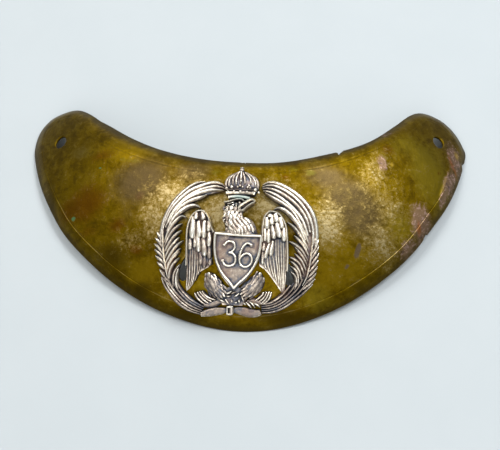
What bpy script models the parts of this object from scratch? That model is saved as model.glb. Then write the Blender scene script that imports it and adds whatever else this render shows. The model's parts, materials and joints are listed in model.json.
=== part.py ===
"""An officer's gorget lying on its back: a crescent of gilt sheet brass with a turned-down edge, and a
pierced cast badge of a crowned eagle in a wreath of palm, held on by three posts and square nuts.

Metres, +Z up, the neck towards +Y. The plate rests on its lower edge and on the outer edge of each horn.
The origin is on the table, under the middle of the plate's box.
"""

import math
from collections import namedtuple

import bmesh
import bpy
import numpy as np
from mathutils import Matrix, Vector

# Plate, seen from above: the neck edge is an arc, and sections run outwards from its centre.
NECK_RADIUS = 0.071
PLATE_DEPTH = 0.0525
LEFT_HORN_ANGLE = math.radians(61.4)
RIGHT_HORN_ANGLE = math.radians(59.9)
OUTER_HORN_ANGLE = math.radians(58.2)
LEFT_HORN_BULGE = 0.0074
RIGHT_HORN_BULGE = 0.0052
SHEET = 0.0009

# Plate, seen from the side: it bends round the neck, and is cambered from the neck to its lower edge.
CHEST_RADIUS = 0.112
CAMBER_RADIUS = 0.090
CAMBER_LINE = 0.032
REST_LIFT = 0.0002

# Only the horns' outer rim can touch the table: beyond this share of the plate's depth above its lower
# edge, and of the neck's radius from the neck's middle.
HORN_RIM_ABOVE = 0.2
HORN_RIM_BEYOND = 1.1

# The edge is turned down all round, further on the neck side.
FLANGE_OUTER = 0.0026
FLANGE_NECK = 0.0038
FLANGE_FALL = math.tan(math.radians(33))

# Holes: one for the ribbon in each horn, and two slots that the badge half hides.
RIBBON_HOLE_RADIUS = 0.0024
RIBBON_HOLE_ANGLE = math.radians(53.7)
RIBBON_HOLE_DEPTH = 0.0143
SLOT_WIDTH = 0.0038
SLOT_HEIGHT = 0.0084
SLOT_APART = 0.0356
SLOT_MIDDLE = (0.0012, -0.0104)

# Where the badge sits on the plate. Its own frame is upright, with X across it and Y up it.
BADGE_BELOW_NECK = 0.0267
BADGE_ASIDE = -0.0046
BADGE_TURN = math.radians(-4.8)
BADGE_GAP = 0.0003

# Wreath: the stems follow one rounded oblong, and leaflets leave them on both sides.
WREATH_HALF_WIDTH = 0.0244
WREATH_HALF_HEIGHT = 0.0218
WREATH_MIDDLE = -0.0028
WREATH_TOP_SQUARENESS = 3.1
WREATH_FOOT_SQUARENESS = 2.3
LEAF_HALF_WIDTH = 0.00078
LEAF_HEIGHT = 0.0021
STEM_HALF_WIDTH = 0.0011
STEM_HEIGHT = 0.0017
STEM_THINNING = 0.5

# Shield on the breast, its rim and its figures.
SHIELD_WIDTH = 0.0162
SHIELD_HEIGHT = 0.0194
SHIELD_TOP = (0.0003, 0.0027)
SHIELD_THICK = 0.0022
SHIELD_TIP_INSET = 2.6
RIM_HALF_WIDTH = 0.00055
RIM_HEIGHT = 0.0032
FIGURE_WIDTH = 0.0046
FIGURE_HEIGHT = 0.0082
FIGURE_HALF_STROKE = 0.00042
FIGURE_TOP = 0.0029

# Wings: a plate each, and rows of feathers on it.
WING_WIDTH = 0.0088
WING_HEIGHT = 0.0268
WING_TOP = (0.0081, 0.0102)
WING_SWAY = math.tan(math.radians(5.5))
WING_SWAY_FROM = 0.0094
WING_THICK = 0.0012
FEATHER_HEIGHT = 0.0024
FEATHER_HALF_WIDTH = 0.62
FEATHERS_ACROSS = 0.94
FEATHER_ROW_RISE = 0.1

# Head, neck and legs.
NECK_HEIGHT = 0.0036
NECK_ROOT = (0.0012, 0.0024)
NECK_LENGTH = 0.0110
NECK_HALF_WIDTH = 0.0052
BEAK_LENGTH = 0.0050
BEAK_HALF_WIDTH = 0.00075
THIGH_LENGTH = 0.0088
THIGH_HALF_WIDTH = 0.0026
THIGH_PLACE = (0.0066, -0.0148)
THIGH_LEAN = math.radians(36.9)

# Crown.
CROWN_WIDTH = 0.0120
CROWN_HEIGHT = 0.0102
CROWN_FOOT = (0.0006, 0.0143)
CROWN_THICK = 0.0012
CROWN_RIB_HALF_WIDTH = 0.00055
CROWN_RIB_HEIGHT = 0.0025
CROWN_RIB_SPAN = 0.92
CROWN_PEARL_SPAN = 0.90
CROWN_BAND_WIDER = 1.5
PEARL_RADIUS = 0.00062
ORB_RADIUS = 0.00085

# Tie at the foot of the wreath.
TIE_RADIUS = 0.0013
TIE_HALF_THICK = 0.00055

# Posts cast on the badge's back go through the plate, and a square nut holds each one behind it.
POST_RADIUS = 0.0010
POST_CLEARANCE = 0.0003
NUT_SIDE = 0.0044
NUT_THICK = 0.0012
POST_END = 0.0004

# Finishes: tarnished gilding, worn silvering and dull brass. Colours are linear.
BRASS_COLOUR = (0.17, 0.11, 0.01)
BRASS_ROUGHNESS = 0.42
SILVER_COLOUR = (0.50, 0.43, 0.37)
SILVER_ROUGHNESS = 0.40
NUT_COLOUR = (0.16, 0.10, 0.03)
NUT_ROUGHNESS = 0.55

# How finely round things are cut.
EDGE_STEPS = 36
CAP_STEPS = 8
HOLE_SIDES = 20
POST_SIDES = 12
TIE_SIDES = 10
CORNER_ROUNDS = 3
CORNER_REACH = 2
LONGEST_EDGE = 0.0090
MERGE_DISTANCE = 1e-6
CUTTER_REACH = 0.012
TABLE_REACH = 0.28
CUT_DEPTH = 0.0006
EDGE_MIDDLE = 0.0006

# Depth of the crescent from the neck edge to the outer edge, as shares of PLATE_DEPTH, from the left horn
# to the right one. The right side is worn narrower.
Section = namedtuple("Section", "along depth")
SECTIONS = (
    Section(-1.00, 0.437),
    Section(-0.85, 0.556),
    Section(-0.75, 0.632),
    Section(-0.65, 0.711),
    Section(-0.54, 0.780),
    Section(-0.38, 0.878),
    Section(-0.25, 0.943),
    Section(0.00, 1.003),
    Section(0.25, 0.928),
    Section(0.38, 0.856),
    Section(0.54, 0.755),
    Section(0.65, 0.674),
    Section(0.75, 0.614),
    Section(0.85, 0.547),
    Section(1.00, 0.445),
)

# How far the neck edge rises inside its arc, as shares of PLATE_DEPTH: the left shoulder is the fuller.
NeckRise = namedtuple("NeckRise", "along rise")
NECK_RISES = (
    NeckRise(-1.00, 0.008),
    NeckRise(-0.90, 0.016),
    NeckRise(-0.76, 0.041),
    NeckRise(-0.62, 0.037),
    NeckRise(-0.45, 0.027),
    NeckRise(-0.20, 0.021),
    NeckRise(-0.03, 0.018),
    NeckRise(0.12, 0.005),
    NeckRise(0.35, 0.010),
    NeckRise(0.60, -0.006),
    NeckRise(0.80, 0.011),
    NeckRise(1.00, 0.002),
)

# Rows of the turned-down edge: how far in from the rim, as a share of the flange's width, and how much
# of its fall is left there.
FlangeRow = namedtuple("FlangeRow", "inwards fall")
FLANGE_ROWS = (
    FlangeRow(0.00, 1.00),
    FlangeRow(0.50, 0.52),
    FlangeRow(0.90, 0.12),
    FlangeRow(1.20, 0.00),
)

# Palm leaflets: where they leave the stem (degrees round the wreath from its foot), how far they lean
# away from it (degrees), how much more they curl by the tip (degrees), and their length as a share of
# the wreath's half width.
LeafRow = namedtuple("LeafRow", "place lean curl length")
INNER_LEAVES = (
    LeafRow(22, 10, -4, 0.40),
    LeafRow(50, 10, -6, 0.42),
    LeafRow(75, 16, 14, 0.38),
    LeafRow(100, 20, 30, 0.38),
    LeafRow(122, 12, 40, 0.44),
    LeafRow(146, 7, 6, 0.34),
)
OUTER_LEAVES = (
    LeafRow(20, 5, -16, 0.40),
    LeafRow(50, 10, -16, 0.34),
    LeafRow(80, 26, -10, 0.23),
    LeafRow(108, 18, -14, 0.26),
    LeafRow(148, 4, -22, 0.30),
)
INNER_COUNT = 14
OUTER_COUNT = 13
STEM_START = 6
STEM_REACH = 160
STEM_STEPS = 18

# A rod's half width at its start, middle and end, as a share of its greatest.
ROD_TAPER = (0.6, 1.0, 0.8)

# Half width of a leaf or feather along it, as a share of its greatest.
Taper = namedtuple("Taper", "along half_width")
LEAF_TAPER = (
    Taper(0.00, 0.45),
    Taper(0.20, 0.80),
    Taper(0.45, 1.00),
    Taper(0.72, 0.85),
    Taper(0.92, 0.45),
    Taper(1.00, 0.12),
)
FEATHER_TAPER = (
    Taper(0.00, 0.70),
    Taper(0.35, 0.95),
    Taper(0.75, 1.00),
    Taper(0.93, 0.70),
    Taper(1.00, 0.25),
)
THIGH_TAPER = (
    Taper(0.00, 0.30),
    Taper(0.10, 0.72),
    Taper(0.35, 1.00),
    Taper(0.70, 0.86),
    Taper(1.00, 0.35),
)

# Shield: half its width down from the top, as shares of its width and height.
ShieldRow = namedtuple("ShieldRow", "down half_width")
SHIELD_ROWS = (
    ShieldRow(0.00, 0.500),
    ShieldRow(0.27, 0.490),
    ShieldRow(0.54, 0.415),
    ShieldRow(0.78, 0.250),
    ShieldRow(1.00, 0.000),
)
SHIELD_STEPS = 8
FIGURE_STEPS = 2

# Wing: corners of its plate as shares of its width and height, from the top next to the neck.
WingCorner = namedtuple("WingCorner", "across down")
WING_CORNERS = (
    WingCorner(0.04, 0.14),
    WingCorner(0.18, 0.04),
    WingCorner(0.42, 0.00),
    WingCorner(0.68, 0.02),
    WingCorner(0.88, 0.10),
    WingCorner(1.00, 0.26),
    WingCorner(1.03, 0.52),
    WingCorner(1.00, 0.82),
    WingCorner(0.90, 1.00),
    WingCorner(0.70, 0.93),
    WingCorner(0.45, 0.80),
    WingCorner(0.18, 0.73),
    WingCorner(-0.08, 0.70),
    WingCorner(-0.12, 0.40),
)

# Rows of feathers down a wing, as shares of its height.
FeatherRow = namedtuple("FeatherRow", "start inner_end outer_end count")
FEATHER_ROWS = (
    FeatherRow(0.46, 0.72, 0.99, 6),
    FeatherRow(0.25, 0.54, 0.62, 6),
    FeatherRow(0.05, 0.32, 0.34, 5),
)

# Neck and head, from the shield up, as shares of the neck's length and half width.
NeckRow = namedtuple("NeckRow", "up across half_width")
NECK_ROWS = (
    NeckRow(0.00, 0.00, 1.00),
    NeckRow(0.27, -0.26, 0.84),
    NeckRow(0.52, -0.46, 0.66),
    NeckRow(0.78, -0.58, 0.62),
    NeckRow(1.00, -0.56, 0.42),
)

# Strokes of the head: their ends from the root of the neck, as shares of the neck's length.
HeadStroke = namedtuple("HeadStroke", "name across up to_across to_up")
HEAD_STROKES = (
    HeadStroke("brow", -0.52, 0.99, 0.04, 1.11),
    HeadStroke("beak_upper", -0.05, 0.98, 0.33, 1.12),
    HeadStroke("beak_lower", -0.08, 0.80, 0.30, 1.02),
    HeadStroke("beak_tip", 0.28, 1.14, 0.33, 1.00),
)

# Crown: half its width up from its foot, as shares of its width and height.
CrownRow = namedtuple("CrownRow", "up half_width")
CROWN_ROWS = (
    CrownRow(0.00, 0.34),
    CrownRow(0.14, 0.40),
    CrownRow(0.34, 0.43),
    CrownRow(0.55, 0.50),
    CrownRow(0.76, 0.42),
    CrownRow(0.92, 0.16),
    CrownRow(1.00, 0.05),
)
CROWN_RIBS = 5
CROWN_BAND = 0.14
CROWN_PEARLS = 6
CROWN_PEARL_ROW = 0.30

# The shield's figures, as strokes through points at shares of a figure's width and height.
FigurePoint = namedtuple("FigurePoint", "across up")
FIGURE_THREE = (
    FigurePoint(0.10, 0.84),
    FigurePoint(0.34, 0.99),
    FigurePoint(0.72, 0.96),
    FigurePoint(0.84, 0.76),
    FigurePoint(0.42, 0.55),
    FigurePoint(0.86, 0.46),
    FigurePoint(0.98, 0.24),
    FigurePoint(0.60, 0.01),
    FigurePoint(0.20, 0.05),
    FigurePoint(0.04, 0.20),
)
FIGURE_SIX = (
    FigurePoint(0.86, 0.92),
    FigurePoint(0.52, 0.94),
    FigurePoint(0.16, 0.66),
    FigurePoint(0.06, 0.32),
    FigurePoint(0.22, 0.05),
    FigurePoint(0.60, 0.00),
    FigurePoint(0.92, 0.18),
    FigurePoint(0.86, 0.46),
    FigurePoint(0.52, 0.56),
    FigurePoint(0.12, 0.40),
)
FIGURES = ((-0.155, FIGURE_THREE), (0.185, FIGURE_SIX))
FIGURE_LINE = 0.395

# Rods of the sheaf that the bird stands on, a side each: ends as shares of the wreath's half width.
SheafRod = namedtuple("SheafRod", "across up to_across to_up")
SHEAF_RODS = (
    SheafRod(0.50, -0.735, 0.10, -0.880),
    SheafRod(0.53, -0.695, 0.20, -0.850),
    SheafRod(0.56, -0.655, 0.30, -0.820),
)
ROD_HALF_WIDTH = 0.0007
ROD_HEIGHT = 0.0019

# Shanks and toes over the sheaf, in the same shares, and the tail between the legs.
TOES = (
    SheafRod(-0.17, -0.70, -0.06, -0.86),
    SheafRod(0.19, -0.70, 0.10, -0.86),
    SheafRod(-0.17, -0.86, -0.04, -0.80),
    SheafRod(0.24, -0.86, 0.40, -0.90),
    SheafRod(0.16, -0.84, 0.10, -0.76),
    SheafRod(-0.05, -0.62, 0.02, -0.95),
    SheafRod(0.08, -0.62, 0.06, -0.95),
)
TOE_HALF_WIDTH = 0.0010

# The stems' cut ends cross at the tie.
STEM_ENDS = (
    SheafRod(-0.40, -1.015, 0.02, -0.935),
    SheafRod(0.03, -0.950, 0.43, -0.985),
)
STEM_END_HALF_WIDTH = 0.0013

# Posts on the badge's back, under the neck and the thighs.
POSTS = {
    "top": (-0.0014, 0.0085),
    "left": (-0.0062, -0.0148),
    "right": (0.0070, -0.0148),
}

# A tear or nick in the rim: where it is along its edge, how wide it opens and how deep it runs.
Nick = namedtuple("Nick", "edge along width depth")
NICKS = (
    Nick("neck", 0.438, 0.0030, 0.0034),
    Nick("neck", -0.020, 0.0004, 0.0012),
    Nick("outer", 0.610, 0.0026, 0.0012),
    Nick("outer", 0.950, 0.0034, 0.0011),
)


def clear_scene():
    for obj in list(bpy.data.objects):
        bpy.data.objects.remove(obj, do_unlink=True)


def new_collection(name, hidden=False):
    collection = bpy.data.collections.new(name)
    bpy.context.scene.collection.children.link(collection)
    collection.hide_render = hidden
    return collection


def make_material(name, colour, roughness, metallic=1.0):
    material = bpy.data.materials.new(name)
    material.use_nodes = True
    shader = material.node_tree.nodes["Principled BSDF"]
    shader.inputs["Base Color"].default_value = (*colour, 1.0)
    shader.inputs["Roughness"].default_value = roughness
    shader.inputs["Metallic"].default_value = metallic
    return material


def read_table(rows, column, at):
    """A column of a table at a place between its rows, along a smooth curve."""
    places = [row[0] for row in rows]
    values = [getattr(row, column) for row in rows]
    at = min(max(at, places[0]), places[-1])
    k = min(max(int(np.searchsorted(places, at)) - 1, 0), len(rows) - 2)
    slopes = np.gradient(values, places)
    width = places[k + 1] - places[k]
    t = (at - places[k]) / width
    return float(
        (2 * t**3 - 3 * t**2 + 1) * values[k]
        + (t**3 - 2 * t**2 + t) * width * slopes[k]
        + (3 * t**2 - 2 * t**3) * values[k + 1]
        + (t**3 - t**2) * width * slopes[k + 1]
    )


# Plan of the plate, with the neck arc's centre at (0, 0)


def neck_rise(along):
    return PLATE_DEPTH * read_table(NECK_RISES, "rise", along)


def neck_edge(along):
    """The neck edge's point at a share of the way to the right horn, or to the left one if negative."""
    angle = along * (LEFT_HORN_ANGLE if along < 0 else RIGHT_HORN_ANGLE)
    return Vector((math.sin(angle), -math.cos(angle))) * (NECK_RADIUS - neck_rise(along))


def outer_edge(along):
    angle = along * OUTER_HORN_ANGLE
    radius = NECK_RADIUS + PLATE_DEPTH * read_table(SECTIONS, "depth", along)
    return Vector((math.sin(angle), -math.cos(angle))) * radius


def horn_end(side, across):
    """The rounded end of a horn, from its outer edge (0) to the neck edge (1)."""
    start, end = outer_edge(side), neck_edge(side)
    chord = end - start
    outwards = Vector((chord.y, -chord.x)).normalized() * side
    bulge = LEFT_HORN_BULGE if side < 0 else RIGHT_HORN_BULGE
    return start + chord * across + outwards * (4 * across * (1 - across) * bulge)


def outline():
    """The rim, anticlockwise from the left horn: its points, and the flange's width at each."""
    points, widths = [], []
    for i in range(EDGE_STEPS):
        points.append(outer_edge(-1 + 2 * i / EDGE_STEPS))
        widths.append(FLANGE_OUTER)
    for j in range(CAP_STEPS):
        points.append(horn_end(1, j / CAP_STEPS))
        widths.append(FLANGE_OUTER + (FLANGE_NECK - FLANGE_OUTER) * j / CAP_STEPS)
    for i in range(EDGE_STEPS):
        along = 1 - 2 * i / EDGE_STEPS
        points.append(neck_edge(along))
        widths.append(FLANGE_NECK + neck_rise(along))
    for j in range(CAP_STEPS):
        points.append(horn_end(-1, 1 - j / CAP_STEPS))
        widths.append(FLANGE_NECK + (FLANGE_OUTER - FLANGE_NECK) * j / CAP_STEPS)
    round_corner(points, EDGE_STEPS + CAP_STEPS)
    round_corner(points, 2 * EDGE_STEPS + CAP_STEPS)
    return points, widths


def round_corner(points, corner):
    """Rounds a horn's tip, by easing the corner and its neighbours towards each other."""
    for _ in range(CORNER_ROUNDS):
        eased = {
            k: (points[k - 1] + 2 * points[k] + points[(k + 1) % len(points)]) / 4
            for k in range(corner - CORNER_REACH, corner + CORNER_REACH + 1)
        }
        for k, point in eased.items():
            points[k] = point


LOWEST = outer_edge(0).y
CAMBER_TOP = LOWEST + CAMBER_LINE


def bend(x, y):
    """How far the plate's curves bring it down at a point, against its lower edge."""
    camber = ((y - CAMBER_TOP) ** 2 - (LOWEST - CAMBER_TOP) ** 2) / (2 * CAMBER_RADIUS)
    return x * x / (2 * CHEST_RADIUS) + camber


def find_lean():
    """The plate's slope towards the neck when the lower edge and the horns all touch the table."""
    above, beyond = LOWEST + HORN_RIM_ABOVE * PLATE_DEPTH, HORN_RIM_BEYOND * NECK_RADIUS
    points = [p for p in outline()[0] if p.y > above and p.length > beyond]
    return max(bend(p.x, p.y) / (p.y - LOWEST) for p in points)


LEAN = find_lean()
EDGE_HEIGHT = FLANGE_OUTER * FLANGE_FALL + REST_LIFT


def dome(x, y):
    """Height of the plate's outer face over the table, leaving out the turned-down edge."""
    return EDGE_HEIGHT + LEAN * (y - LOWEST) - bend(x, y)


def dome_normal(x, y):
    slope_x = -x / CHEST_RADIUS
    slope_y = LEAN - (y - CAMBER_TOP) / CAMBER_RADIUS
    return Vector((-slope_x, -slope_y, 1)).normalized()


def on_dome(x, y, above=0.0):
    return Vector((x, y, dome(x, y))) + dome_normal(x, y) * above


def badge_to_plan(x, y):
    """The plan place of a point of the badge's own flat frame, laid on the slope of the plate."""
    turned = Matrix.Rotation(BADGE_TURN, 2) @ Vector((x, y))
    middle = -(NECK_RADIUS + BADGE_BELOW_NECK)
    slope = LEAN - (middle + turned.y / 2 - CAMBER_TOP) / CAMBER_RADIUS
    return BADGE_ASIDE + turned.x, middle + turned.y * math.cos(math.atan(slope))


# Meshes and cuts


def mesh_object(name, bm, collection, material=None):
    mesh = bpy.data.meshes.new(name)
    bm.to_mesh(mesh)
    bm.free()
    obj = bpy.data.objects.new(name, mesh)
    collection.objects.link(obj)
    if material:
        mesh.materials.append(material)
    return obj


def offset_loop(points, widths, share):
    """The rim moved inwards by a share of the flange's width at each point."""
    moved = []
    for k, point in enumerate(points):
        before, after = points[k - 1], points[(k + 1) % len(points)]
        direction = (after - before).normalized()
        moved.append(point + Vector((-direction.y, direction.x)) * widths[k] * share)
    return moved


def plate_grid(loop):
    """Plan points that fill the rim's inner loop, in rows from the left horn to the right one."""
    corner_b, corner_c = EDGE_STEPS, EDGE_STEPS + CAP_STEPS
    corner_d = 2 * EDGE_STEPS + CAP_STEPS
    outer = loop[: corner_b + 1]
    right = loop[corner_b : corner_c + 1]
    neck = loop[corner_c : corner_d + 1][::-1]
    left = (loop[corner_d:] + loop[:1])[::-1]
    grid = []
    for i in range(EDGE_STEPS + 1):
        u = i / EDGE_STEPS
        row = []
        for j in range(CAP_STEPS + 1):
            v = j / CAP_STEPS
            sides = outer[i] * (1 - v) + neck[i] * v + left[j] * (1 - u) + right[j] * u
            corners = (outer[0] * (1 - v) + neck[0] * v) * (1 - u)
            corners += (outer[-1] * (1 - v) + neck[-1] * v) * u
            row.append(sides - corners)
        grid.append(row)
    return grid


def make_plate_sheet(collection, material):
    """The plate's outer face as an open surface: rings for the turned-down edge, then a grid."""
    points, widths = outline()
    bm = bmesh.new()
    rings = []
    for row in FLANGE_ROWS:
        ring = []
        for point, width in zip(offset_loop(points, widths, row.inwards), widths):
            fall = row.fall * width * FLANGE_FALL
            ring.append(bm.verts.new((point.x, point.y, dome(point.x, point.y) - fall)))
        rings.append(ring)
    count = len(points)
    for outer_ring, inner_ring in zip(rings, rings[1:]):
        for k in range(count):
            n = (k + 1) % count
            bm.faces.new((outer_ring[k], outer_ring[n], inner_ring[n], inner_ring[k]))
    inner = rings[-1]
    grid = plate_grid([Vector(v.co.xy) for v in inner])
    verts = [[None] * (CAP_STEPS + 1) for _ in range(EDGE_STEPS + 1)]
    for i in range(EDGE_STEPS + 1):
        verts[i][0] = inner[i]
        verts[i][CAP_STEPS] = inner[2 * EDGE_STEPS + CAP_STEPS - i]
    for j in range(1, CAP_STEPS):
        verts[EDGE_STEPS][j] = inner[EDGE_STEPS + j]
        verts[0][j] = inner[(count - j) % count]
    for i in range(1, EDGE_STEPS):
        for j in range(1, CAP_STEPS):
            p = grid[i][j]
            verts[i][j] = bm.verts.new((p.x, p.y, dome(p.x, p.y)))
    for i in range(EDGE_STEPS):
        for j in range(CAP_STEPS):
            bm.faces.new((verts[i][j], verts[i + 1][j], verts[i + 1][j + 1], verts[i][j + 1]))
    bm.normal_update()
    return mesh_object("gorget_plate", bm, collection, material)


def cylinder_cutter(name, radius, place, axis, cutters, stretch=1.0):
    """A round cutter through the plate, stretched along Y for an oval hole."""
    bm = bmesh.new()
    bmesh.ops.create_cone(
        bm,
        cap_ends=True,
        segments=HOLE_SIDES,
        radius1=radius,
        radius2=radius,
        depth=CUTTER_REACH,
    )
    bmesh.ops.scale(bm, vec=(1, stretch, 1), verts=bm.verts)
    cutter = mesh_object(name, bm, cutters)
    cutter.location = place
    cutter.rotation_euler = axis.to_track_quat("Z", "Y").to_euler()
    return cutter


def nick_cutter(name, nick, cutters):
    """A V-shaped prism that stands on the rim, its point inwards."""
    edge = neck_edge if nick.edge == "neck" else outer_edge
    place = edge(nick.along)
    outwards = -place.normalized() if nick.edge == "neck" else place.normalized()
    aside = Vector((-outwards.y, outwards.x)) * nick.width
    middle = place + outwards * nick.depth
    corners = [place - outwards * nick.depth, middle - aside, middle + aside]
    bm = bmesh.new()
    rings = [[bm.verts.new((p.x, p.y, z)) for p in corners] for z in (-CUTTER_REACH, 4 * CUTTER_REACH)]
    bm.faces.new(rings[0])
    bm.faces.new(rings[1])
    for k in range(3):
        n = (k + 1) % 3
        bm.faces.new((rings[0][k], rings[0][n], rings[1][n], rings[1][k]))
    bmesh.ops.recalc_face_normals(bm, faces=bm.faces)
    return mesh_object(name, bm, cutters)


def table_cutter(cutters):
    """What lies below the table: it flattens the rim where the plate rests."""
    bm = bmesh.new()
    bmesh.ops.create_cube(bm, size=1)
    bmesh.ops.scale(bm, vec=(TABLE_REACH, TABLE_REACH, CUTTER_REACH), verts=bm.verts)
    bmesh.ops.translate(bm, vec=(0, LOWEST / 2, -CUTTER_REACH / 2), verts=bm.verts)
    return mesh_object("below_table", bm, cutters)


def cut(obj, cutter, operation="DIFFERENCE", solver="EXACT"):
    modifier = obj.modifiers.new(cutter.name, "BOOLEAN")
    modifier.operation = operation
    modifier.object = cutter
    modifier.solver = solver
    cutter.display_type = "WIRE"
    cutter.hide_render = True


def ribbon_hole_place(side):
    """Where a horn's ribbon hole pierces the plate, in plan."""
    outwards = Vector((side * math.sin(RIBBON_HOLE_ANGLE), -math.cos(RIBBON_HOLE_ANGLE)))
    return outwards * (NECK_RADIUS + RIBBON_HOLE_DEPTH)


def make_plate(collection, cutters, material):
    plate = make_plate_sheet(collection, material)
    wall = plate.modifiers.new("sheet", "SOLIDIFY")
    wall.thickness = SHEET
    wall.offset = -1
    wall.use_even_offset = True
    for side, name in ((-1, "left"), (1, "right")):
        place = ribbon_hole_place(side)
        axis = dome_normal(*place)
        cut(plate, cylinder_cutter(f"ribbon_hole_{name}", RIBBON_HOLE_RADIUS, on_dome(*place), axis, cutters))
        slot = badge_to_plan(SLOT_MIDDLE[0] + side * SLOT_APART / 2, SLOT_MIDDLE[1])
        stretch = SLOT_HEIGHT / SLOT_WIDTH
        axis = dome_normal(*slot)
        cut(plate, cylinder_cutter(f"slot_{name}", SLOT_WIDTH / 2, on_dome(*slot), axis, cutters, stretch))
    for name, place in POSTS.items():
        plan = badge_to_plan(*place)
        radius = POST_RADIUS + POST_CLEARANCE
        axis = dome_normal(*plan)
        cut(plate, cylinder_cutter(f"post_hole_{name}", radius, on_dome(*plan), axis, cutters))
    for number, nick in enumerate(NICKS, 1):
        cut(plate, nick_cutter(f"nick_{number}", nick, cutters))
    cut(plate, table_cutter(cutters))
    return plate


# Badge, made flat in its own frame and then laid on the plate


def flat_mesh(obj):
    """The evaluated mesh of a curve object, its caps joined to its sides. The object is removed."""
    bpy.context.view_layer.update()
    graph = bpy.context.evaluated_depsgraph_get()
    mesh = bpy.data.meshes.new_from_object(obj.evaluated_get(graph))
    bpy.data.objects.remove(obj, do_unlink=True)
    bm = bmesh.new()
    bm.from_mesh(mesh)
    bpy.data.meshes.remove(mesh)
    bmesh.ops.remove_doubles(bm, verts=bm.verts, dist=MERGE_DISTANCE)
    return bm


def stroke(name, points, half_widths, height, middle, collection, closed=False, round_steps=0):
    """A ridge along some points: a diamond in section, its edges at one height and its crest at another."""
    curve = bpy.data.curves.new(name, "CURVE")
    curve.dimensions = "3D"
    curve.twist_mode = "Z_UP"
    curve.bevel_depth = 1.0
    curve.bevel_resolution = 0
    curve.use_fill_caps = not closed
    spline = curve.splines.new("BEZIER" if round_steps else "POLY")
    spline.use_cyclic_u = closed
    knots = spline.bezier_points if round_steps else spline.points
    knots.add(len(points) - 1)
    for knot, (x, y), half_width in zip(knots, points, half_widths):
        knot.co = (x, y, 0) if round_steps else (x, y, 0, 1)
        knot.radius = half_width
        if round_steps:
            knot.handle_left_type = knot.handle_right_type = "AUTO"
    if round_steps:
        curve.resolution_u = round_steps
    obj = bpy.data.objects.new(name, curve)
    collection.objects.link(obj)
    bm = flat_mesh(obj)
    crest = (height - middle) / max(half_widths)
    bmesh.ops.scale(bm, vec=(1, 1, crest), verts=bm.verts)
    bmesh.ops.translate(bm, vec=(0, 0, middle), verts=bm.verts)
    bmesh.ops.recalc_face_normals(bm, faces=bm.faces)
    return mesh_object(name, bm, collection)


def slab(name, corners, thickness, collection):
    """A flat piece of the casting, from its back up to a thickness."""
    curve = bpy.data.curves.new(name, "CURVE")
    curve.dimensions = "2D"
    curve.fill_mode = "BOTH"
    curve.extrude = thickness / 2 + CUT_DEPTH / 2
    spline = curve.splines.new("POLY")
    spline.points.add(len(corners) - 1)
    spline.use_cyclic_u = True
    for target, (x, y) in zip(spline.points, corners):
        target.co = (x, y, 0, 1)
    obj = bpy.data.objects.new(name, curve)
    collection.objects.link(obj)
    bm = flat_mesh(obj)
    bmesh.ops.translate(bm, vec=(0, 0, thickness / 2 - CUT_DEPTH / 2), verts=bm.verts)
    bmesh.ops.recalc_face_normals(bm, faces=bm.faces)
    return mesh_object(name, bm, collection)


def ball(name, place, radius, middle, collection):
    bm = bmesh.new()
    bmesh.ops.create_icosphere(bm, subdivisions=1, radius=radius)
    bmesh.ops.translate(bm, vec=(*place, middle), verts=bm.verts)
    return mesh_object(name, bm, collection)


def stem_point(side, place):
    """A point of a branch's stem, at so many degrees round the wreath from its foot."""
    angle = math.radians(place)
    across, up = math.sin(angle), -math.cos(angle)
    n = WREATH_TOP_SQUARENESS if up > 0 else WREATH_FOOT_SQUARENESS
    reach = (abs(across) / WREATH_HALF_WIDTH) ** n + (abs(up) / WREATH_HALF_HEIGHT) ** n
    reach = reach ** (-1 / n)
    return Vector((side * across * reach, WREATH_MIDDLE + up * reach))


def stem_heading(side, place):
    ahead = stem_point(side, place + 1) - stem_point(side, place - 1)
    return math.atan2(ahead.y, ahead.x)


def leaf_path(side, row, inwards):
    """A leaflet's middle line: it leaves the stem at its lean and turns by its curl."""
    length = row["length"] * WREATH_HALF_WIDTH
    point = stem_point(side, row["place"])
    heading = stem_heading(side, row["place"])
    sign = side if inwards else -side
    path = [point]
    for before, after in zip(LEAF_TAPER, LEAF_TAPER[1:]):
        share = (before.along + after.along) / 2
        angle = heading + sign * math.radians(row["lean"] + row["curl"] * share)
        step = (after.along - before.along) * length
        point = point + Vector((math.cos(angle), math.sin(angle))) * step
        path.append(point)
    return path


def leaf_rows(table, count):
    """A leaflet's table read at even places along the branch."""
    first, last = table[0].place, table[-1].place
    for k in range(count):
        place = first + (last - first) * k / (count - 1)
        values = {column: read_table(table, column, place) for column in LeafRow._fields[1:]}
        yield {"place": place, **values}


def make_wreath(collection):
    leaf_widths = [LEAF_HALF_WIDTH * taper.half_width for taper in LEAF_TAPER]
    for side, name in ((-1, "left"), (1, "right")):
        for table, count, inwards in ((INNER_LEAVES, INNER_COUNT, True), (OUTER_LEAVES, OUTER_COUNT, False)):
            for k, row in enumerate(leaf_rows(table, count)):
                path = leaf_path(side, row, inwards)
                label = f"leaf_{name}_{'inner' if inwards else 'outer'}_{k}"
                stroke(label, path, leaf_widths, LEAF_HEIGHT, EDGE_MIDDLE, collection)
        path = [stem_point(side, place) for place in np.linspace(STEM_START, STEM_REACH, STEM_STEPS)]
        widths = STEM_HALF_WIDTH * np.linspace(1, 1 - STEM_THINNING, STEM_STEPS)
        stroke(f"stem_{name}", path, widths, STEM_HEIGHT, EDGE_MIDDLE, collection)


def rods(name, rows, half_width, height, sides, collection):
    for side in sides:
        for k, rod in enumerate(rows):
            start = Vector((side * rod.across, rod.up)) * WREATH_HALF_WIDTH
            end = Vector((side * rod.to_across, rod.to_up)) * WREATH_HALF_WIDTH
            label = f"{name}_{'left' if side < 0 else 'right'}_{k}"
            widths = [half_width * share for share in ROD_TAPER]
            stroke(label, (start, (start + end) / 2, end), widths, height, EDGE_MIDDLE, collection)


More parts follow.
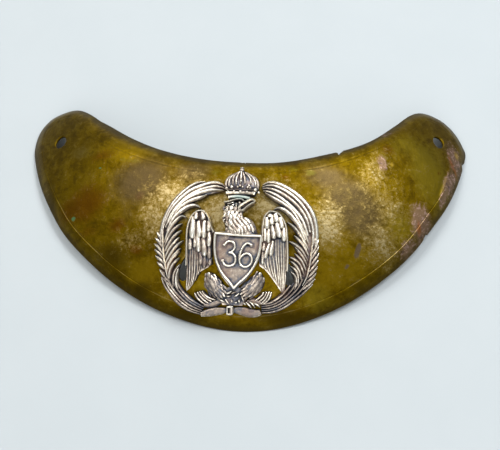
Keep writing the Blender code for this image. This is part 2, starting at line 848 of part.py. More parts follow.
def shield_outline(inset=0.0):
    """The shield's edge, anticlockwise from its tip, drawn in by an inset."""
    right = []
    for k in range(SHIELD_STEPS + 1):
        down = 1 - k / SHIELD_STEPS
        half = SHIELD_WIDTH * read_table(SHIELD_ROWS, "half_width", down) - inset
        fall = down * (SHIELD_HEIGHT - SHIELD_TIP_INSET * inset)
        right.append((max(half, 0), SHIELD_TOP[1] - inset - fall))
    left = [(-x, y) for x, y in right[:0:-1]]
    return [(SHIELD_TOP[0] + x, y) for x, y in right + left]


def make_shield(collection):
    slab("shield", shield_outline(), SHIELD_THICK, collection)
    edge = shield_outline(RIM_HALF_WIDTH)
    widths = [RIM_HALF_WIDTH] * len(edge)
    stroke("shield_rim", edge, widths, RIM_HEIGHT, SHIELD_THICK, collection, closed=True)
    base = SHIELD_TOP[1] - FIGURE_LINE * SHIELD_HEIGHT - FIGURE_HEIGHT / 2
    for place, figure in FIGURES:
        middle = SHIELD_TOP[0] + place * SHIELD_WIDTH
        path = [
            (middle + (p.across - 0.5) * FIGURE_WIDTH, base + p.up * FIGURE_HEIGHT) for p in figure
        ]
        widths = [FIGURE_HALF_STROKE] * len(path)
        label = f"figure_{place}"
        stroke(label, path, widths, FIGURE_TOP, SHIELD_THICK, collection, round_steps=FIGURE_STEPS)


def wing_point(side, across, down):
    """A point of a wing. Both wings hang more upright than the turned badge does."""
    sway = WING_SWAY * (down * WING_HEIGHT - WING_SWAY_FROM)
    return Vector((side * (WING_TOP[0] + across * WING_WIDTH) + sway, WING_TOP[1] - down * WING_HEIGHT))


def make_wings(collection):
    for side, name in ((-1, "left"), (1, "right")):
        corners = [wing_point(side, *corner) for corner in WING_CORNERS]
        slab(f"wing_{name}", corners, WING_THICK, collection)
        rim = corners[:9]
        stroke(
            f"wing_rim_{name}", rim, [RIM_HALF_WIDTH] * len(rim), FEATHER_HEIGHT, WING_THICK / 2, collection
        )
        for r, row in enumerate(FEATHER_ROWS):
            half_width = FEATHER_HALF_WIDTH * WING_WIDTH / row.count
            widths = [half_width * taper.half_width for taper in FEATHER_TAPER]
            for k in range(row.count):
                share = (k + 0.5) / row.count
                end = row.inner_end + (row.outer_end - row.inner_end) * share
                path = [
                    wing_point(side, share * FEATHERS_ACROSS, row.start + (end - row.start) * taper.along)
                    for taper in FEATHER_TAPER
                ]
                height = FEATHER_HEIGHT * (1 + FEATHER_ROW_RISE * r)
                stroke(f"feather_{name}_{r}_{k}", path, widths, height, WING_THICK / 2, collection)


def make_head(collection):
    root = Vector(NECK_ROOT)
    path = [
        root + Vector((row.across * NECK_HALF_WIDTH, row.up * NECK_LENGTH)) for row in NECK_ROWS
    ]
    widths = [row.half_width * NECK_HALF_WIDTH for row in NECK_ROWS]
    stroke("neck", path, widths, NECK_HEIGHT, EDGE_MIDDLE, collection)
    for row in HEAD_STROKES:
        start = root + Vector((row.across, row.up)) * NECK_LENGTH
        end = root + Vector((row.to_across, row.to_up)) * NECK_LENGTH
        widths = [BEAK_HALF_WIDTH] * 2
        stroke(row.name, (start, end), widths, NECK_HEIGHT - BEAK_HALF_WIDTH, EDGE_MIDDLE, collection)


def make_legs(collection):
    for side, name in ((-1, "left"), (1, "right")):
        middle = Vector((side * THIGH_PLACE[0] + SHIELD_TOP[0], THIGH_PLACE[1]))
        direction = Vector((-side * math.sin(THIGH_LEAN), -math.cos(THIGH_LEAN)))
        start = middle - direction * THIGH_LENGTH / 2
        path = [start + direction * THIGH_LENGTH * taper.along for taper in THIGH_TAPER]
        widths = [THIGH_HALF_WIDTH * taper.half_width for taper in THIGH_TAPER]
        stroke(f"thigh_{name}", path, widths, NECK_HEIGHT, EDGE_MIDDLE, collection)


def make_crown(collection):
    foot = Vector(CROWN_FOOT)

    def crown_point(across, up):
        half = read_table(CROWN_ROWS, "half_width", up) * CROWN_WIDTH
        return foot + Vector((across * half, up * CROWN_HEIGHT))

    ups = [row.up for row in CROWN_ROWS]
    right = [crown_point(1, up) for up in ups]
    left = [crown_point(-1, up) for up in reversed(ups)]
    slab("crown", right + left, CROWN_THICK, collection)
    for k in range(CROWN_RIBS):
        across = CROWN_RIB_SPAN * (2 * k / (CROWN_RIBS - 1) - 1)
        path = [crown_point(across, up) for up in ups[1:]]
        widths = [CROWN_RIB_HALF_WIDTH] * len(path)
        stroke(f"crown_rib_{k}", path, widths, CROWN_RIB_HEIGHT, CROWN_THICK / 2, collection)
    band = [crown_point(across, CROWN_BAND) for across in (-1, 0, 1)]
    widths = [CROWN_RIB_HALF_WIDTH * CROWN_BAND_WIDER] * len(band)
    stroke("crown_band", band, widths, CROWN_RIB_HEIGHT, EDGE_MIDDLE, collection)
    for k in range(CROWN_PEARLS):
        across = CROWN_PEARL_SPAN * (2 * k / (CROWN_PEARLS - 1) - 1)
        place = crown_point(across, CROWN_PEARL_ROW)
        ball(f"crown_pearl_{k}", place, PEARL_RADIUS, CROWN_THICK + PEARL_RADIUS / 2, collection)
    ball("crown_orb", crown_point(0, 1), ORB_RADIUS, ORB_RADIUS, collection)


def make_tie(collection):
    """The ring that ties the stems."""
    place = stem_point(1, 0) + Vector((0, TIE_RADIUS / 2))
    angles = [math.tau * k / TIE_SIDES for k in range(TIE_SIDES)]
    ring = [place + Vector((math.cos(a), math.sin(a))) * TIE_RADIUS for a in angles]
    widths = [TIE_HALF_THICK] * TIE_SIDES
    stroke("tie", ring, widths, STEM_HEIGHT + TIE_HALF_THICK, EDGE_MIDDLE, collection, closed=True)


def join_pieces(name, pieces, cutters):
    """The pieces made one closed body, and everything under the badge's flat back cut off."""
    bm = bmesh.new()
    bmesh.ops.create_cube(bm, size=1)
    bmesh.ops.scale(bm, vec=(TABLE_REACH, TABLE_REACH, CUTTER_REACH), verts=bm.verts)
    bmesh.ops.translate(bm, vec=(0, 0, -CUTTER_REACH / 2), verts=bm.verts)
    below = mesh_object(f"below_{name}", bm, cutters)
    body = pieces.objects["shield"].copy()
    body.name = f"{name}_flat"
    cutters.objects.link(body)
    union = body.modifiers.new("pieces", "BOOLEAN")
    union.operation = "UNION"
    union.operand_type = "COLLECTION"
    union.collection = pieces
    union.solver = "EXACT"
    union.use_self = True
    pieces.objects.unlink(pieces.objects["shield"])
    cut(body, below, solver="MANIFOLD")
    bpy.context.view_layer.update()
    graph = bpy.context.evaluated_depsgraph_get()
    mesh = bpy.data.meshes.new_from_object(body.evaluated_get(graph))
    for obj in list(pieces.objects) + [body, below]:
        bpy.data.objects.remove(obj, do_unlink=True)
    return mesh


def split_long_edges(bm):
    """Triangles short enough to follow the plate's curve."""
    bmesh.ops.triangulate(bm, faces=bm.faces)
    while True:
        long_edges = [edge for edge in bm.edges if edge.calc_length() > LONGEST_EDGE]
        if not long_edges:
            return
        bmesh.ops.subdivide_edges(bm, edges=long_edges, cuts=1)
        bmesh.ops.triangulate(bm, faces=bm.faces)


def make_badge(collection, cutters, pieces, material):
    make_shield(pieces)
    make_wings(pieces)
    make_head(pieces)
    make_legs(pieces)
    make_crown(pieces)
    make_wreath(pieces)
    rods("sheaf", SHEAF_RODS, ROD_HALF_WIDTH, ROD_HEIGHT, (-1, 1), pieces)
    rods("toe", TOES, TOE_HALF_WIDTH, NECK_HEIGHT - ROD_HEIGHT / 2, (1,), pieces)
    rods("stem_end", STEM_ENDS, STEM_END_HALF_WIDTH, STEM_HEIGHT, (1,), pieces)
    make_tie(pieces)
    mesh = join_pieces("badge", pieces, cutters)
    bm = bmesh.new()
    bm.from_mesh(mesh)
    bpy.data.meshes.remove(mesh)
    split_long_edges(bm)
    for vert in bm.verts:
        plan = badge_to_plan(vert.co.x, vert.co.y)
        vert.co = on_dome(*plan, BADGE_GAP + vert.co.z)
    badge = mesh_object("badge", bm, collection, material)
    for name, place in POSTS.items():
        cut(badge, make_post(name, place, cutters), "UNION", "MANIFOLD")
    return badge


def post_frame(place):
    """Where a post meets the badge's back, and its axis."""
    plan = badge_to_plan(*place)
    normal = dome_normal(*plan)
    return on_dome(*plan), normal


def make_post(name, place, cutters):
    seat, normal = post_frame(place)
    top = BADGE_GAP + CROWN_THICK / 2
    bottom = -(SHEET + POST_CLEARANCE + NUT_THICK + POST_END)
    bm = bmesh.new()
    bmesh.ops.create_cone(
        bm,
        cap_ends=True,
        segments=POST_SIDES,
        radius1=POST_RADIUS,
        radius2=POST_RADIUS,
        depth=top - bottom,
    )
    post = mesh_object(f"post_{name}", bm, cutters)
    post.location = seat + normal * (top + bottom) / 2
    post.rotation_euler = normal.to_track_quat("Z", "Y").to_euler()
    return post


def make_nut(name, place, collection, cutters, material):
    """A plain square nut round a post, just clear of the plate's back."""
    seat, normal = post_frame(place)
    middle = seat - normal * (SHEET + POST_CLEARANCE + NUT_THICK / 2)
    bm = bmesh.new()
    bmesh.ops.create_cube(bm, size=1)
    bmesh.ops.scale(bm, vec=(NUT_SIDE, NUT_SIDE, NUT_THICK), verts=bm.verts)
    nut = mesh_object(f"badge_nut_{name}", bm, collection, material)
    nut.location = middle
    nut.rotation_euler = normal.to_track_quat("Z", "Y").to_euler()
    radius = POST_RADIUS + POST_CLEARANCE
    cut(nut, cylinder_cutter(f"nut_hole_{name}", radius, middle, normal, cutters))
    return nut


def stand_on_middle():
    """An empty that carries the parts from the plan's frame to the middle of the plate's box."""
    points = outline()[0]
    xs = [p.x for p in points]
    ys = [p.y for p in points]
    empty = bpy.data.objects.new("gorget", None)
    bpy.context.scene.collection.objects.link(empty)
    empty.location = (-(min(xs) + max(xs)) / 2, -(min(ys) + max(ys)) / 2, 0)
    for obj in list(bpy.data.objects):
        if obj is not empty and obj.parent is None:
            obj.parent = empty
    return empty


def main():
    clear_scene()
    gorget = new_collection("gorget_parts")
    cutters = new_collection("cutters", hidden=True)
    pieces = new_collection("badge_pieces", hidden=True)
    brass = make_material("gilt_brass", BRASS_COLOUR, BRASS_ROUGHNESS)
    silver = make_material("silvered_badge", SILVER_COLOUR, SILVER_ROUGHNESS)
    nut_brass = make_material("nut_brass", NUT_COLOUR, NUT_ROUGHNESS)
    make_plate(gorget, cutters, brass)
    make_badge(gorget, cutters, pieces, silver)
    for name, place in POSTS.items():
        make_nut(name, place, gorget, cutters, nut_brass)
    stand_on_middle()


main()
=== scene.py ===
# %% [markdown]
# # An officer's gorget in gilt sheet brass, with a silvered eagle badge
#
# The object is a crescent of thin brass that hung at the throat. It lies on its back. A pierced casting
# of a crowned eagle in a palm wreath is held on it by three posts and nuts. The fixed frame holds plain
# solids of the plate, the badge and the nuts, in metres, and every piece made here goes where they are.

import json
import math
from collections import namedtuple

import bmesh
import bpy
import numpy as np
from mathutils import Matrix, Vector

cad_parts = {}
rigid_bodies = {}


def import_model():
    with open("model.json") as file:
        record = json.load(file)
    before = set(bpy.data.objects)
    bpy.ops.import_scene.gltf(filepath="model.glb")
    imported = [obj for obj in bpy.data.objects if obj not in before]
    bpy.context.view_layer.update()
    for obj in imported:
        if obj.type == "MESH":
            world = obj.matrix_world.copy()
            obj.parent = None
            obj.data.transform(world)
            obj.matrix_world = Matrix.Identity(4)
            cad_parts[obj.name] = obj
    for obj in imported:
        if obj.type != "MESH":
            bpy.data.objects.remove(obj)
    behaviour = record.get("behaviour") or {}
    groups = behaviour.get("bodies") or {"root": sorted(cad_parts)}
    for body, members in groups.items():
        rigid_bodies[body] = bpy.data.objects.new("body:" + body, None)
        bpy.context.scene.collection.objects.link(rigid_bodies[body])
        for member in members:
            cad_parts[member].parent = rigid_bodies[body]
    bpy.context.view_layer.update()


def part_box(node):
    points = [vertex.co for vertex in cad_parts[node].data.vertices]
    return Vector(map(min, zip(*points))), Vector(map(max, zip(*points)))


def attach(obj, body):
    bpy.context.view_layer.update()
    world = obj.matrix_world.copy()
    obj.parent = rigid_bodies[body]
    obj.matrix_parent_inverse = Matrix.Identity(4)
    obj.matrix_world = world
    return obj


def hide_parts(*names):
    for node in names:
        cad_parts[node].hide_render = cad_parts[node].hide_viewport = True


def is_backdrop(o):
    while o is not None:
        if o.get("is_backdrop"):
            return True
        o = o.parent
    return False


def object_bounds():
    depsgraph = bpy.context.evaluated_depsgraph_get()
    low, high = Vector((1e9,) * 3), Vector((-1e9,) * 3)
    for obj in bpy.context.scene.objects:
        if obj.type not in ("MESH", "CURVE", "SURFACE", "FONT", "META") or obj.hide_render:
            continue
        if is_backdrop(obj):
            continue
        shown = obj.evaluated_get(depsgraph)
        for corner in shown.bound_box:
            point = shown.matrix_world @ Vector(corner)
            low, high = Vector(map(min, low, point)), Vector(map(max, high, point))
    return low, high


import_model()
MM = 0.001

# %% [markdown]
# ## Formulas in a node tree
#
# The plate is bent by one formula, and several finishes are arithmetic too. Built node by node, a formula
# is hard to read. This small class holds one number of a node tree, and arithmetic on it adds Math nodes,
# so that the tree is written the way the formula is.


# %% A number in a node tree
class Wire:
    def __init__(self, tree, socket):
        self.tree = tree
        self.socket = socket

    def math(self, operation, *others, clamp=False):
        node = self.tree.nodes.new("ShaderNodeMath")
        node.operation = operation
        node.use_clamp = clamp
        for place, value in enumerate((self, *others)):
            feed(self.tree, node.inputs[place], value)
        return Wire(self.tree, node.outputs[0])

    def __add__(self, other):
        return self.math("ADD", other)

    def __sub__(self, other):
        return self.math("SUBTRACT", other)

    def __mul__(self, other):
        return self.math("MULTIPLY", other)

    def __truediv__(self, other):
        return self.math("DIVIDE", other)


def feed(tree, socket, value):
    """Links a wire or an output into a socket, or sets the socket to a plain value."""
    if isinstance(value, Wire):
        tree.links.new(value.socket, socket)
    elif isinstance(value, bpy.types.NodeSocket):
        tree.links.new(value, socket)
    else:
        socket.default_value = value


def add_node(tree, kind, inputs=None, **settings):
    """A new node with its settings, and its inputs fed by name or by number."""
    node = tree.nodes.new(kind)
    for name, value in settings.items():
        setattr(node, name, value)
    for name, value in (inputs or {}).items():
        feed(tree, node.inputs[name], value)
    return node


print("wires ready")

# %% [markdown]
# ## Growing a shape from a tree
#
# Geometry Nodes make the shapes that follow a rule: the bent plate, the ridges of leaves and feathers, and
# the pearls. Each tree has named inputs for its sizes, and ends in Realize Instances and Set Material. The
# modifier is read into a plain mesh and taken off again, because the finished part holds no live trees.


# %% Trees with named sizes
def new_tree(name, sizes):
    """A geometry tree with a float input for each named size. Returns it, its input node and wires."""
    tree = bpy.data.node_groups.new(name, "GeometryNodeTree")
    tree.interface.new_socket("Geometry", in_out="INPUT", socket_type="NodeSocketGeometry")
    tree.interface.new_socket("Geometry", in_out="OUTPUT", socket_type="NodeSocketGeometry")
    for label in sizes:
        tree.interface.new_socket(label, in_out="INPUT", socket_type="NodeSocketFloat")
    tree.interface.new_socket("Finish", in_out="INPUT", socket_type="NodeSocketMaterial")
    entry = tree.nodes.new("NodeGroupInput")
    wires = {label: Wire(tree, entry.outputs[label]) for label in sizes}
    return tree, entry, wires


def stored_number(tree, name):
    """The wire of a number that the points carry."""
    node = add_node(tree, "GeometryNodeInputNamedAttribute", {"Name": name}, data_type="FLOAT")
    return Wire(tree, node.outputs[0])


def position_wires(tree):
    """The wires of a point's x, y and z."""
    place = add_node(tree, "GeometryNodeInputPosition")
    split = add_node(tree, "ShaderNodeSeparateXYZ", {0: place.outputs[0]})
    return [Wire(tree, output) for output in split.outputs]


def moved(tree, geometry, x, y, z):
    """The geometry with its points moved to x, y and z."""
    place = add_node(tree, "ShaderNodeCombineXYZ", {0: x, 1: y, 2: z})
    node = add_node(tree, "GeometryNodeSetPosition", {"Geometry": geometry, "Position": place.outputs[0]})
    return node.outputs[0]


def noted(tree, geometry, name, value):
    """The geometry with a number stored on its points."""
    inputs = {"Geometry": geometry, "Name": name, "Value": value}
    node = add_node(tree, "GeometryNodeStoreNamedAttribute", inputs, data_type="FLOAT", domain="POINT")
    return node.outputs[0]


def end_tree(tree, entry, geometry):
    """Realizes what the tree made, gives it its finish, and sends it out."""
    whole = add_node(tree, "GeometryNodeRealizeInstances", {"Geometry": geometry})
    finished = add_node(
        tree, "GeometryNodeSetMaterial", {"Geometry": whole.outputs[0], "Material": entry.outputs["Finish"]}
    )
    last = tree.nodes.new("NodeGroupOutput")
    tree.links.new(finished.outputs[0], last.inputs["Geometry"])


def grow(name, source, tree, finish, sizes):
    """The plain mesh object that a tree makes from a source mesh. The source is used up."""
    seed = bpy.data.objects.new(name + "_source", source)
    bpy.context.scene.collection.objects.link(seed)
    modifier = seed.modifiers.new(tree.name, "NODES")
    modifier.node_group = tree
    for item in tree.interface.items_tree:
        if item.item_type == "SOCKET" and item.in_out == "INPUT" and item.name in sizes:
            modifier[item.identifier] = sizes[item.name]
        if item.item_type == "SOCKET" and item.name == "Finish":
            modifier[item.identifier] = finish
    bpy.context.view_layer.update()
    graph = bpy.context.evaluated_depsgraph_get()
    mesh = bpy.data.meshes.new_from_object(seed.evaluated_get(graph), depsgraph=graph)
    bpy.data.objects.remove(seed, do_unlink=True)
    bpy.data.meshes.remove(source)
    mesh.name = name
    print(f"{name}: {len(mesh.vertices)} points, {len(mesh.polygons)} faces")
    return mesh


def points_of(mesh):
    found = np.empty(len(mesh.vertices) * 3, np.float32)
    mesh.vertices.foreach_get("co", found)
    return found.reshape(-1, 3).astype(float)


def set_attribute(mesh, name, values):
    """Stores one number for each point of a mesh."""
    attribute = mesh.attributes.get(name) or mesh.attributes.new(name, "FLOAT", "POINT")
    attribute.data.foreach_set("value", np.asarray(values, np.float32))


gilt = bpy.data.materials.new("tarnished_gilt_brass")
silver = bpy.data.materials.new("worn_silvering")
nut_brass = bpy.data.materials.new("dull_brass")
print("finishes named; their nodes come later:", gilt.name, silver.name, nut_brass.name)

# %% [markdown]
# ## The crescent's outline
#
# On the real plate the neck edge is an arc, and the depth of the crescent falls off towards rounded horns.
# The right side is worn narrower. It could be traced as one free curve, but an arc and a short table of
# depths say how it is made, and are what the fixed frame's solid was made from too.

# %% Sizes of the plate, seen from above
NECK_RADIUS = 71.0 * MM
PLATE_DEPTH = 52.5 * MM
HORN_ANGLE = {-1: math.radians(61.4), 1: math.radians(59.9)}
OUTER_HORN_ANGLE = math.radians(58.2)
HORN_BULGE = {-1: 7.4 * MM, 1: 5.2 * MM}
FLANGE_OUTER = 2.6 * MM
FLANGE_NECK = 3.8 * MM
FLANGE_FALL = math.tan(math.radians(33))
EDGE_STEPS = 36
CAP_STEPS = 8
FINER = 5
DEPTHS = (
    (-1.00, 0.437), (-0.85, 0.556), (-0.75, 0.632), (-0.65, 0.711), (-0.54, 0.780), (-0.38, 0.878),
    (-0.25, 0.943), (0.00, 1.003), (0.25, 0.928), (0.38, 0.856), (0.54, 0.755), (0.65, 0.674),
    (0.75, 0.614), (0.85, 0.547), (1.00, 0.445),
)
RISES = (
    (-1.00, 0.008), (-0.90, 0.016), (-0.76, 0.041), (-0.62, 0.037), (-0.45, 0.027), (-0.20, 0.021),
    (-0.03, 0.018), (0.12, 0.005), (0.35, 0.010), (0.60, -0.006), (0.80, 0.011), (1.00, 0.002),
)


def read_table(rows, at):
    """A value between a table's rows, along a smooth curve."""
    places, values = (np.array(column, float) for column in zip(*rows))
    at = min(max(at, places[0]), places[-1])
    k = min(max(int(np.searchsorted(places, at)) - 1, 0), len(rows) - 2)
    slopes = np.gradient(values, places)
    width = places[k + 1] - places[k]
    t = (at - places[k]) / width
    start = (2 * t**3 - 3 * t**2 + 1) * values[k] + (t**3 - 2 * t**2 + t) * width * slopes[k]
    return float(start + (3 * t**2 - 2 * t**3) * values[k + 1] + (t**3 - t**2) * width * slopes[k + 1])


def neck_rise(along):
    return PLATE_DEPTH * read_table(RISES, along)


def neck_edge(along):
    angle = along * HORN_ANGLE[-1 if along < 0 else 1]
    return np.array((math.sin(angle), -math.cos(angle))) * (NECK_RADIUS - neck_rise(along))


def outer_edge(along):
    angle = along * OUTER_HORN_ANGLE
    return np.array((math.sin(angle), -math.cos(angle))) * (NECK_RADIUS + PLATE_DEPTH * read_table(DEPTHS, along))


def horn_end(side, across):
    start, end = outer_edge(side), neck_edge(side)
    chord = end - start
    outwards = np.array((chord[1], -chord[0])) / np.linalg.norm(chord) * side
    return start + chord * across + outwards * (4 * across * (1 - across) * HORN_BULGE[side])


def outline():
    """The rim, anticlockwise from the left horn, and the turned-down edge's width at each point."""
    points, widths = [], []
    for i in range(EDGE_STEPS):
        points.append(outer_edge(-1 + 2 * i / EDGE_STEPS))
        widths.append(FLANGE_OUTER)
    for j in range(CAP_STEPS):
        points.append(horn_end(1, j / CAP_STEPS))
        widths.append(FLANGE_OUTER + (FLANGE_NECK - FLANGE_OUTER) * j / CAP_STEPS)
    for i in range(EDGE_STEPS):
        points.append(neck_edge(1 - 2 * i / EDGE_STEPS))
        widths.append(FLANGE_NECK + neck_rise(1 - 2 * i / EDGE_STEPS))
    for j in range(CAP_STEPS):
        points.append(horn_end(-1, 1 - j / CAP_STEPS))
        widths.append(FLANGE_NECK + (FLANGE_OUTER - FLANGE_NECK) * j / CAP_STEPS)
    for corner in (EDGE_STEPS + CAP_STEPS, 2 * EDGE_STEPS + CAP_STEPS):
        for _ in range(3):
            near = range(corner - 2, corner + 3)
            eased = {k: (points[k - 1] + 2 * points[k] + points[(k + 1) % len(points)]) / 4 for k in near}
            for k, point in eased.items():
                points[k] = point
    return np.array(points), np.array(widths)


def between(before, a, b, beyond, t):
    """The smooth curve from a to b, a share t of the way, given the points before and beyond them."""
    bend_2 = 2 * before - 5 * a + 4 * b - beyond
    bend_3 = -before + 3 * a - 3 * b + beyond
    return 0.5 * (2 * a + (b - before) * t + bend_2 * t**2 + bend_3 * t**3)


def finer_ring(ring, steps):
    """A closed ring with more points, on the smooth curve through the ones it has."""
    before, after, beyond = np.roll(ring, 1, 0), np.roll(ring, -1, 0), np.roll(ring, -2, 0)
    layers = [between(before, ring, after, beyond, t) for t in np.arange(steps) / steps]
    return np.stack(layers, axis=1).reshape(-1, *ring.shape[1:])


coarse_rim, coarse_widths = outline()
RIM = finer_ring(coarse_rim, FINER)
RIM_WIDTHS = finer_ring(coarse_widths, FINER)
plan_middle = (RIM.min(0) + RIM.max(0)) / 2
plate_low, plate_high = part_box("gorget_plate")
SHIFT = np.array(((plate_low + plate_high) / 2)[:2]) - plan_middle
print("rim points:", len(RIM), "shift to the frame, mm:", (SHIFT / MM).round(2))

# %% [markdown]
# ## How the plate bends
#
# The sheet is bent round the chest across its width, and cambered from the neck down to the lower edge. It
# rests on its lower edge and on both horns, so it leans towards the neck. This could be modelled by a
# lattice or by hand, but bending is a plain formula: a height for each place, and from its slope the
# direction that stands square on the sheet. The same tree later lays the badge on the plate.

# %% Sizes of the bend
SHEET = 0.9 * MM
CHEST_RADIUS = 112.0 * MM
CAMBER_RADIUS = 90.0 * MM
CAMBER_LINE = 32.0 * MM
REST_LIFT = 0.2 * MM
HORN_RIM_ABOVE = 0.2
HORN_RIM_BEYOND = 1.1
LOWEST = outer_edge(0)[1]
CAMBER_TOP = LOWEST + CAMBER_LINE


def drop(x, y):
    """How far the bends bring the sheet down, against its lower edge."""
    camber = ((y - CAMBER_TOP) ** 2 - (LOWEST - CAMBER_TOP) ** 2) / (2 * CAMBER_RADIUS)
    return x * x / (2 * CHEST_RADIUS) + camber


above_foot = coarse_rim[:, 1] > LOWEST + HORN_RIM_ABOVE * PLATE_DEPTH
high = above_foot & (np.linalg.norm(coarse_rim, axis=1) > HORN_RIM_BEYOND * NECK_RADIUS)
LEAN = max(drop(x, y) / (y - LOWEST) for x, y in coarse_rim[high])
EDGE_HEIGHT = FLANGE_OUTER * FLANGE_FALL + REST_LIFT
BEND = {
    "Chest radius": CHEST_RADIUS,
    "Camber radius": CAMBER_RADIUS,
    "Camber top": CAMBER_TOP,
    "Lowest": LOWEST,
    "Lean": LEAN,
    "Edge height": EDGE_HEIGHT,
    "Shift X": float(SHIFT[0]),
    "Shift Y": float(SHIFT[1]),
}


def height_at(x, y):
    return EDGE_HEIGHT + LEAN * (y - LOWEST) - drop(x, y)


def normal_at(x, y):
    return Vector((x / CHEST_RADIUS, -(LEAN - (y - CAMBER_TOP) / CAMBER_RADIUS), 1)).normalized()


print("lean, degrees:", round(math.degrees(math.atan(LEAN)), 1))


# %% The tree that bends a flat sheet
def bending_tree():
    """Moves each point (x, y, z) to the bent sheet's place over (x, y), z above it and `fall` down."""
    tree, entry, size = new_tree("bend to the chest", [*BEND, "Dent depth", "Dent size"])
    x, y, z = position_wires(tree)
    fall, free = stored_number(tree, "fall"), stored_number(tree, "free")
    up = y - size["Camber top"]
    below = size["Lowest"] - size["Camber top"]
    camber = (up * up - below * below) / (size["Camber radius"] * 2)
    height = size["Edge height"] + size["Lean"] * (y - size["Lowest"]) - camber
    height = height - x * x / (size["Chest radius"] * 2)
    slope_x = x / size["Chest radius"]
    slope_y = up / size["Camber radius"] - size["Lean"]
    length = (slope_x * slope_x + slope_y * slope_y + 1).math("SQRT")
    place = add_node(tree, "GeometryNodeInputPosition").outputs[0]
    dents = add_node(tree, "ShaderNodeTexNoise", {"Vector": place, "Scale": size["Dent size"], "Detail": 2.0})
    dent = (Wire(tree, dents.outputs[0]) - 0.5) * size["Dent depth"] * free
    rise = (z + dent) / length
    to_x, to_y = x + slope_x * rise + size["Shift X"], y + slope_y * rise + size["Shift Y"]
    end_tree(tree, entry, moved(tree, entry.outputs["Geometry"], to_x, to_y, height + rise - fall))
    return tree


chest_bend = bending_tree()
print("bending tree:", len(chest_bend.nodes), "nodes")

# %% [markdown]
# ## The sheet, laid out flat
#
# The real edge is turned down all round over a steel block, and a fine line is engraved where the turn
# begins. Rings of points follow the rim inwards, close together over the turn and the line, and a grid
# fills the rest. Each point carries how far its turn lets it fall.

# %% Rings for the turned-down edge, and a grid inside them
TURN = ((0.00, 1.00), (0.20, 0.76), (0.42, 0.50), (0.66, 0.27), (0.90, 0.11), (1.16, 0.03), (1.40, 0.00))
LINE_AT = 1.26
LINE_DEPTH = 0.06 * MM
RING_PLACES = (0.0, 0.12, 0.26, 0.42, 0.58, 0.74, 0.90, 1.04, 1.16, 1.23, 1.26, 1.29, 1.40)
CORNERS = [FINER * k for k in (EDGE_STEPS, EDGE_STEPS + CAP_STEPS, 2 * EDGE_STEPS + CAP_STEPS)]


def inward_directions(ring, spread=6):
    """Unit vectors into the ring, averaged over a few neighbours so that no two cross."""
    ahead = np.roll(ring, -1, 0) - np.roll(ring, 1, 0)
    inwards = np.stack((-ahead[:, 1], ahead[:, 0]), axis=1)
    inwards /= np.linalg.norm(inwards, axis=1)[:, None]
    total = sum(np.roll(inwards, k, 0) for k in range(-spread, spread + 1))
    return total / np.linalg.norm(total, axis=1)[:, None]


def fill_ring(ring):
    """A grid of points between a ring's four sides."""
    b, c, d = CORNERS
    outer, right = ring[: b + 1], ring[b : c + 1]
    neck = ring[c : d + 1][::-1]
    left = np.concatenate((ring[d:], ring[:1]))[::-1]
    u = np.linspace(0, 1, len(outer))[:, None, None]
    v = np.linspace(0, 1, len(left))[None, :, None]
    sides = outer[:, None] * (1 - v) + neck[:, None] * v + left[None] * (1 - u) + right[None] * u
    corners = (outer[0] * (1 - v) + neck[0] * v) * (1 - u) + (outer[-1] * (1 - v) + neck[-1] * v) * u
    return sides - corners


def flat_sheet():
    """The plate's face as a flat mesh with `fall` on each point, and the number of points in its rim."""
    count = len(RIM)
    inwards = inward_directions(RIM)
    start = RIM + inwards * SHEET / 2
    rings, falls = [], []
    for place in RING_PLACES:
        rings.append(start + inwards * (RIM_WIDTHS * place)[:, None])
        groove = LINE_DEPTH if place == LINE_AT else 0
        falls.append(read_table(TURN, place) * RIM_WIDTHS * FLANGE_FALL + groove)
    grid = fill_ring(rings[-1])
    long, wide = grid.shape[0] - 1, grid.shape[1] - 1
    index = np.zeros((long + 1, wide + 1), int)
    last = (len(rings) - 1) * count
    b, c, d = CORNERS
    index[:, 0] = last + np.arange(long + 1)
    index[:, wide] = last + d - np.arange(long + 1)
    index[long, 1:wide] = last + b + np.arange(1, wide)
    index[0, 1:wide] = last + count - np.arange(1, wide)
    index[1:long, 1:wide] = len(rings) * count + np.arange((long - 1) * (wide - 1)).reshape(long - 1, wide - 1)
    flat = np.concatenate((*rings, grid[1:long, 1:wide].reshape(-1, 2)))
    fall = np.concatenate((*falls, np.zeros((long - 1) * (wide - 1))))
    faces = []
    for r in range(len(rings) - 1):
        for k in range(count):
            n = (k + 1) % count
            faces.append((r * count + k, r * count + n, (r + 1) * count + n, (r + 1) * count + k))
    for i in range(long):
        for j in range(wide):
            faces.append((index[i, j], index[i + 1, j], index[i + 1, j + 1], index[i, j + 1]))
    mesh = bpy.data.meshes.new("flat_sheet")
    mesh.from_pydata([(x, y, 0) for x, y in flat], [], [tuple(map(int, face)) for face in faces])
    set_attribute(mesh, "fall", fall)
    return mesh, count


flat, rim_count = flat_sheet()
print("flat sheet:", len(flat.vertices), "points")
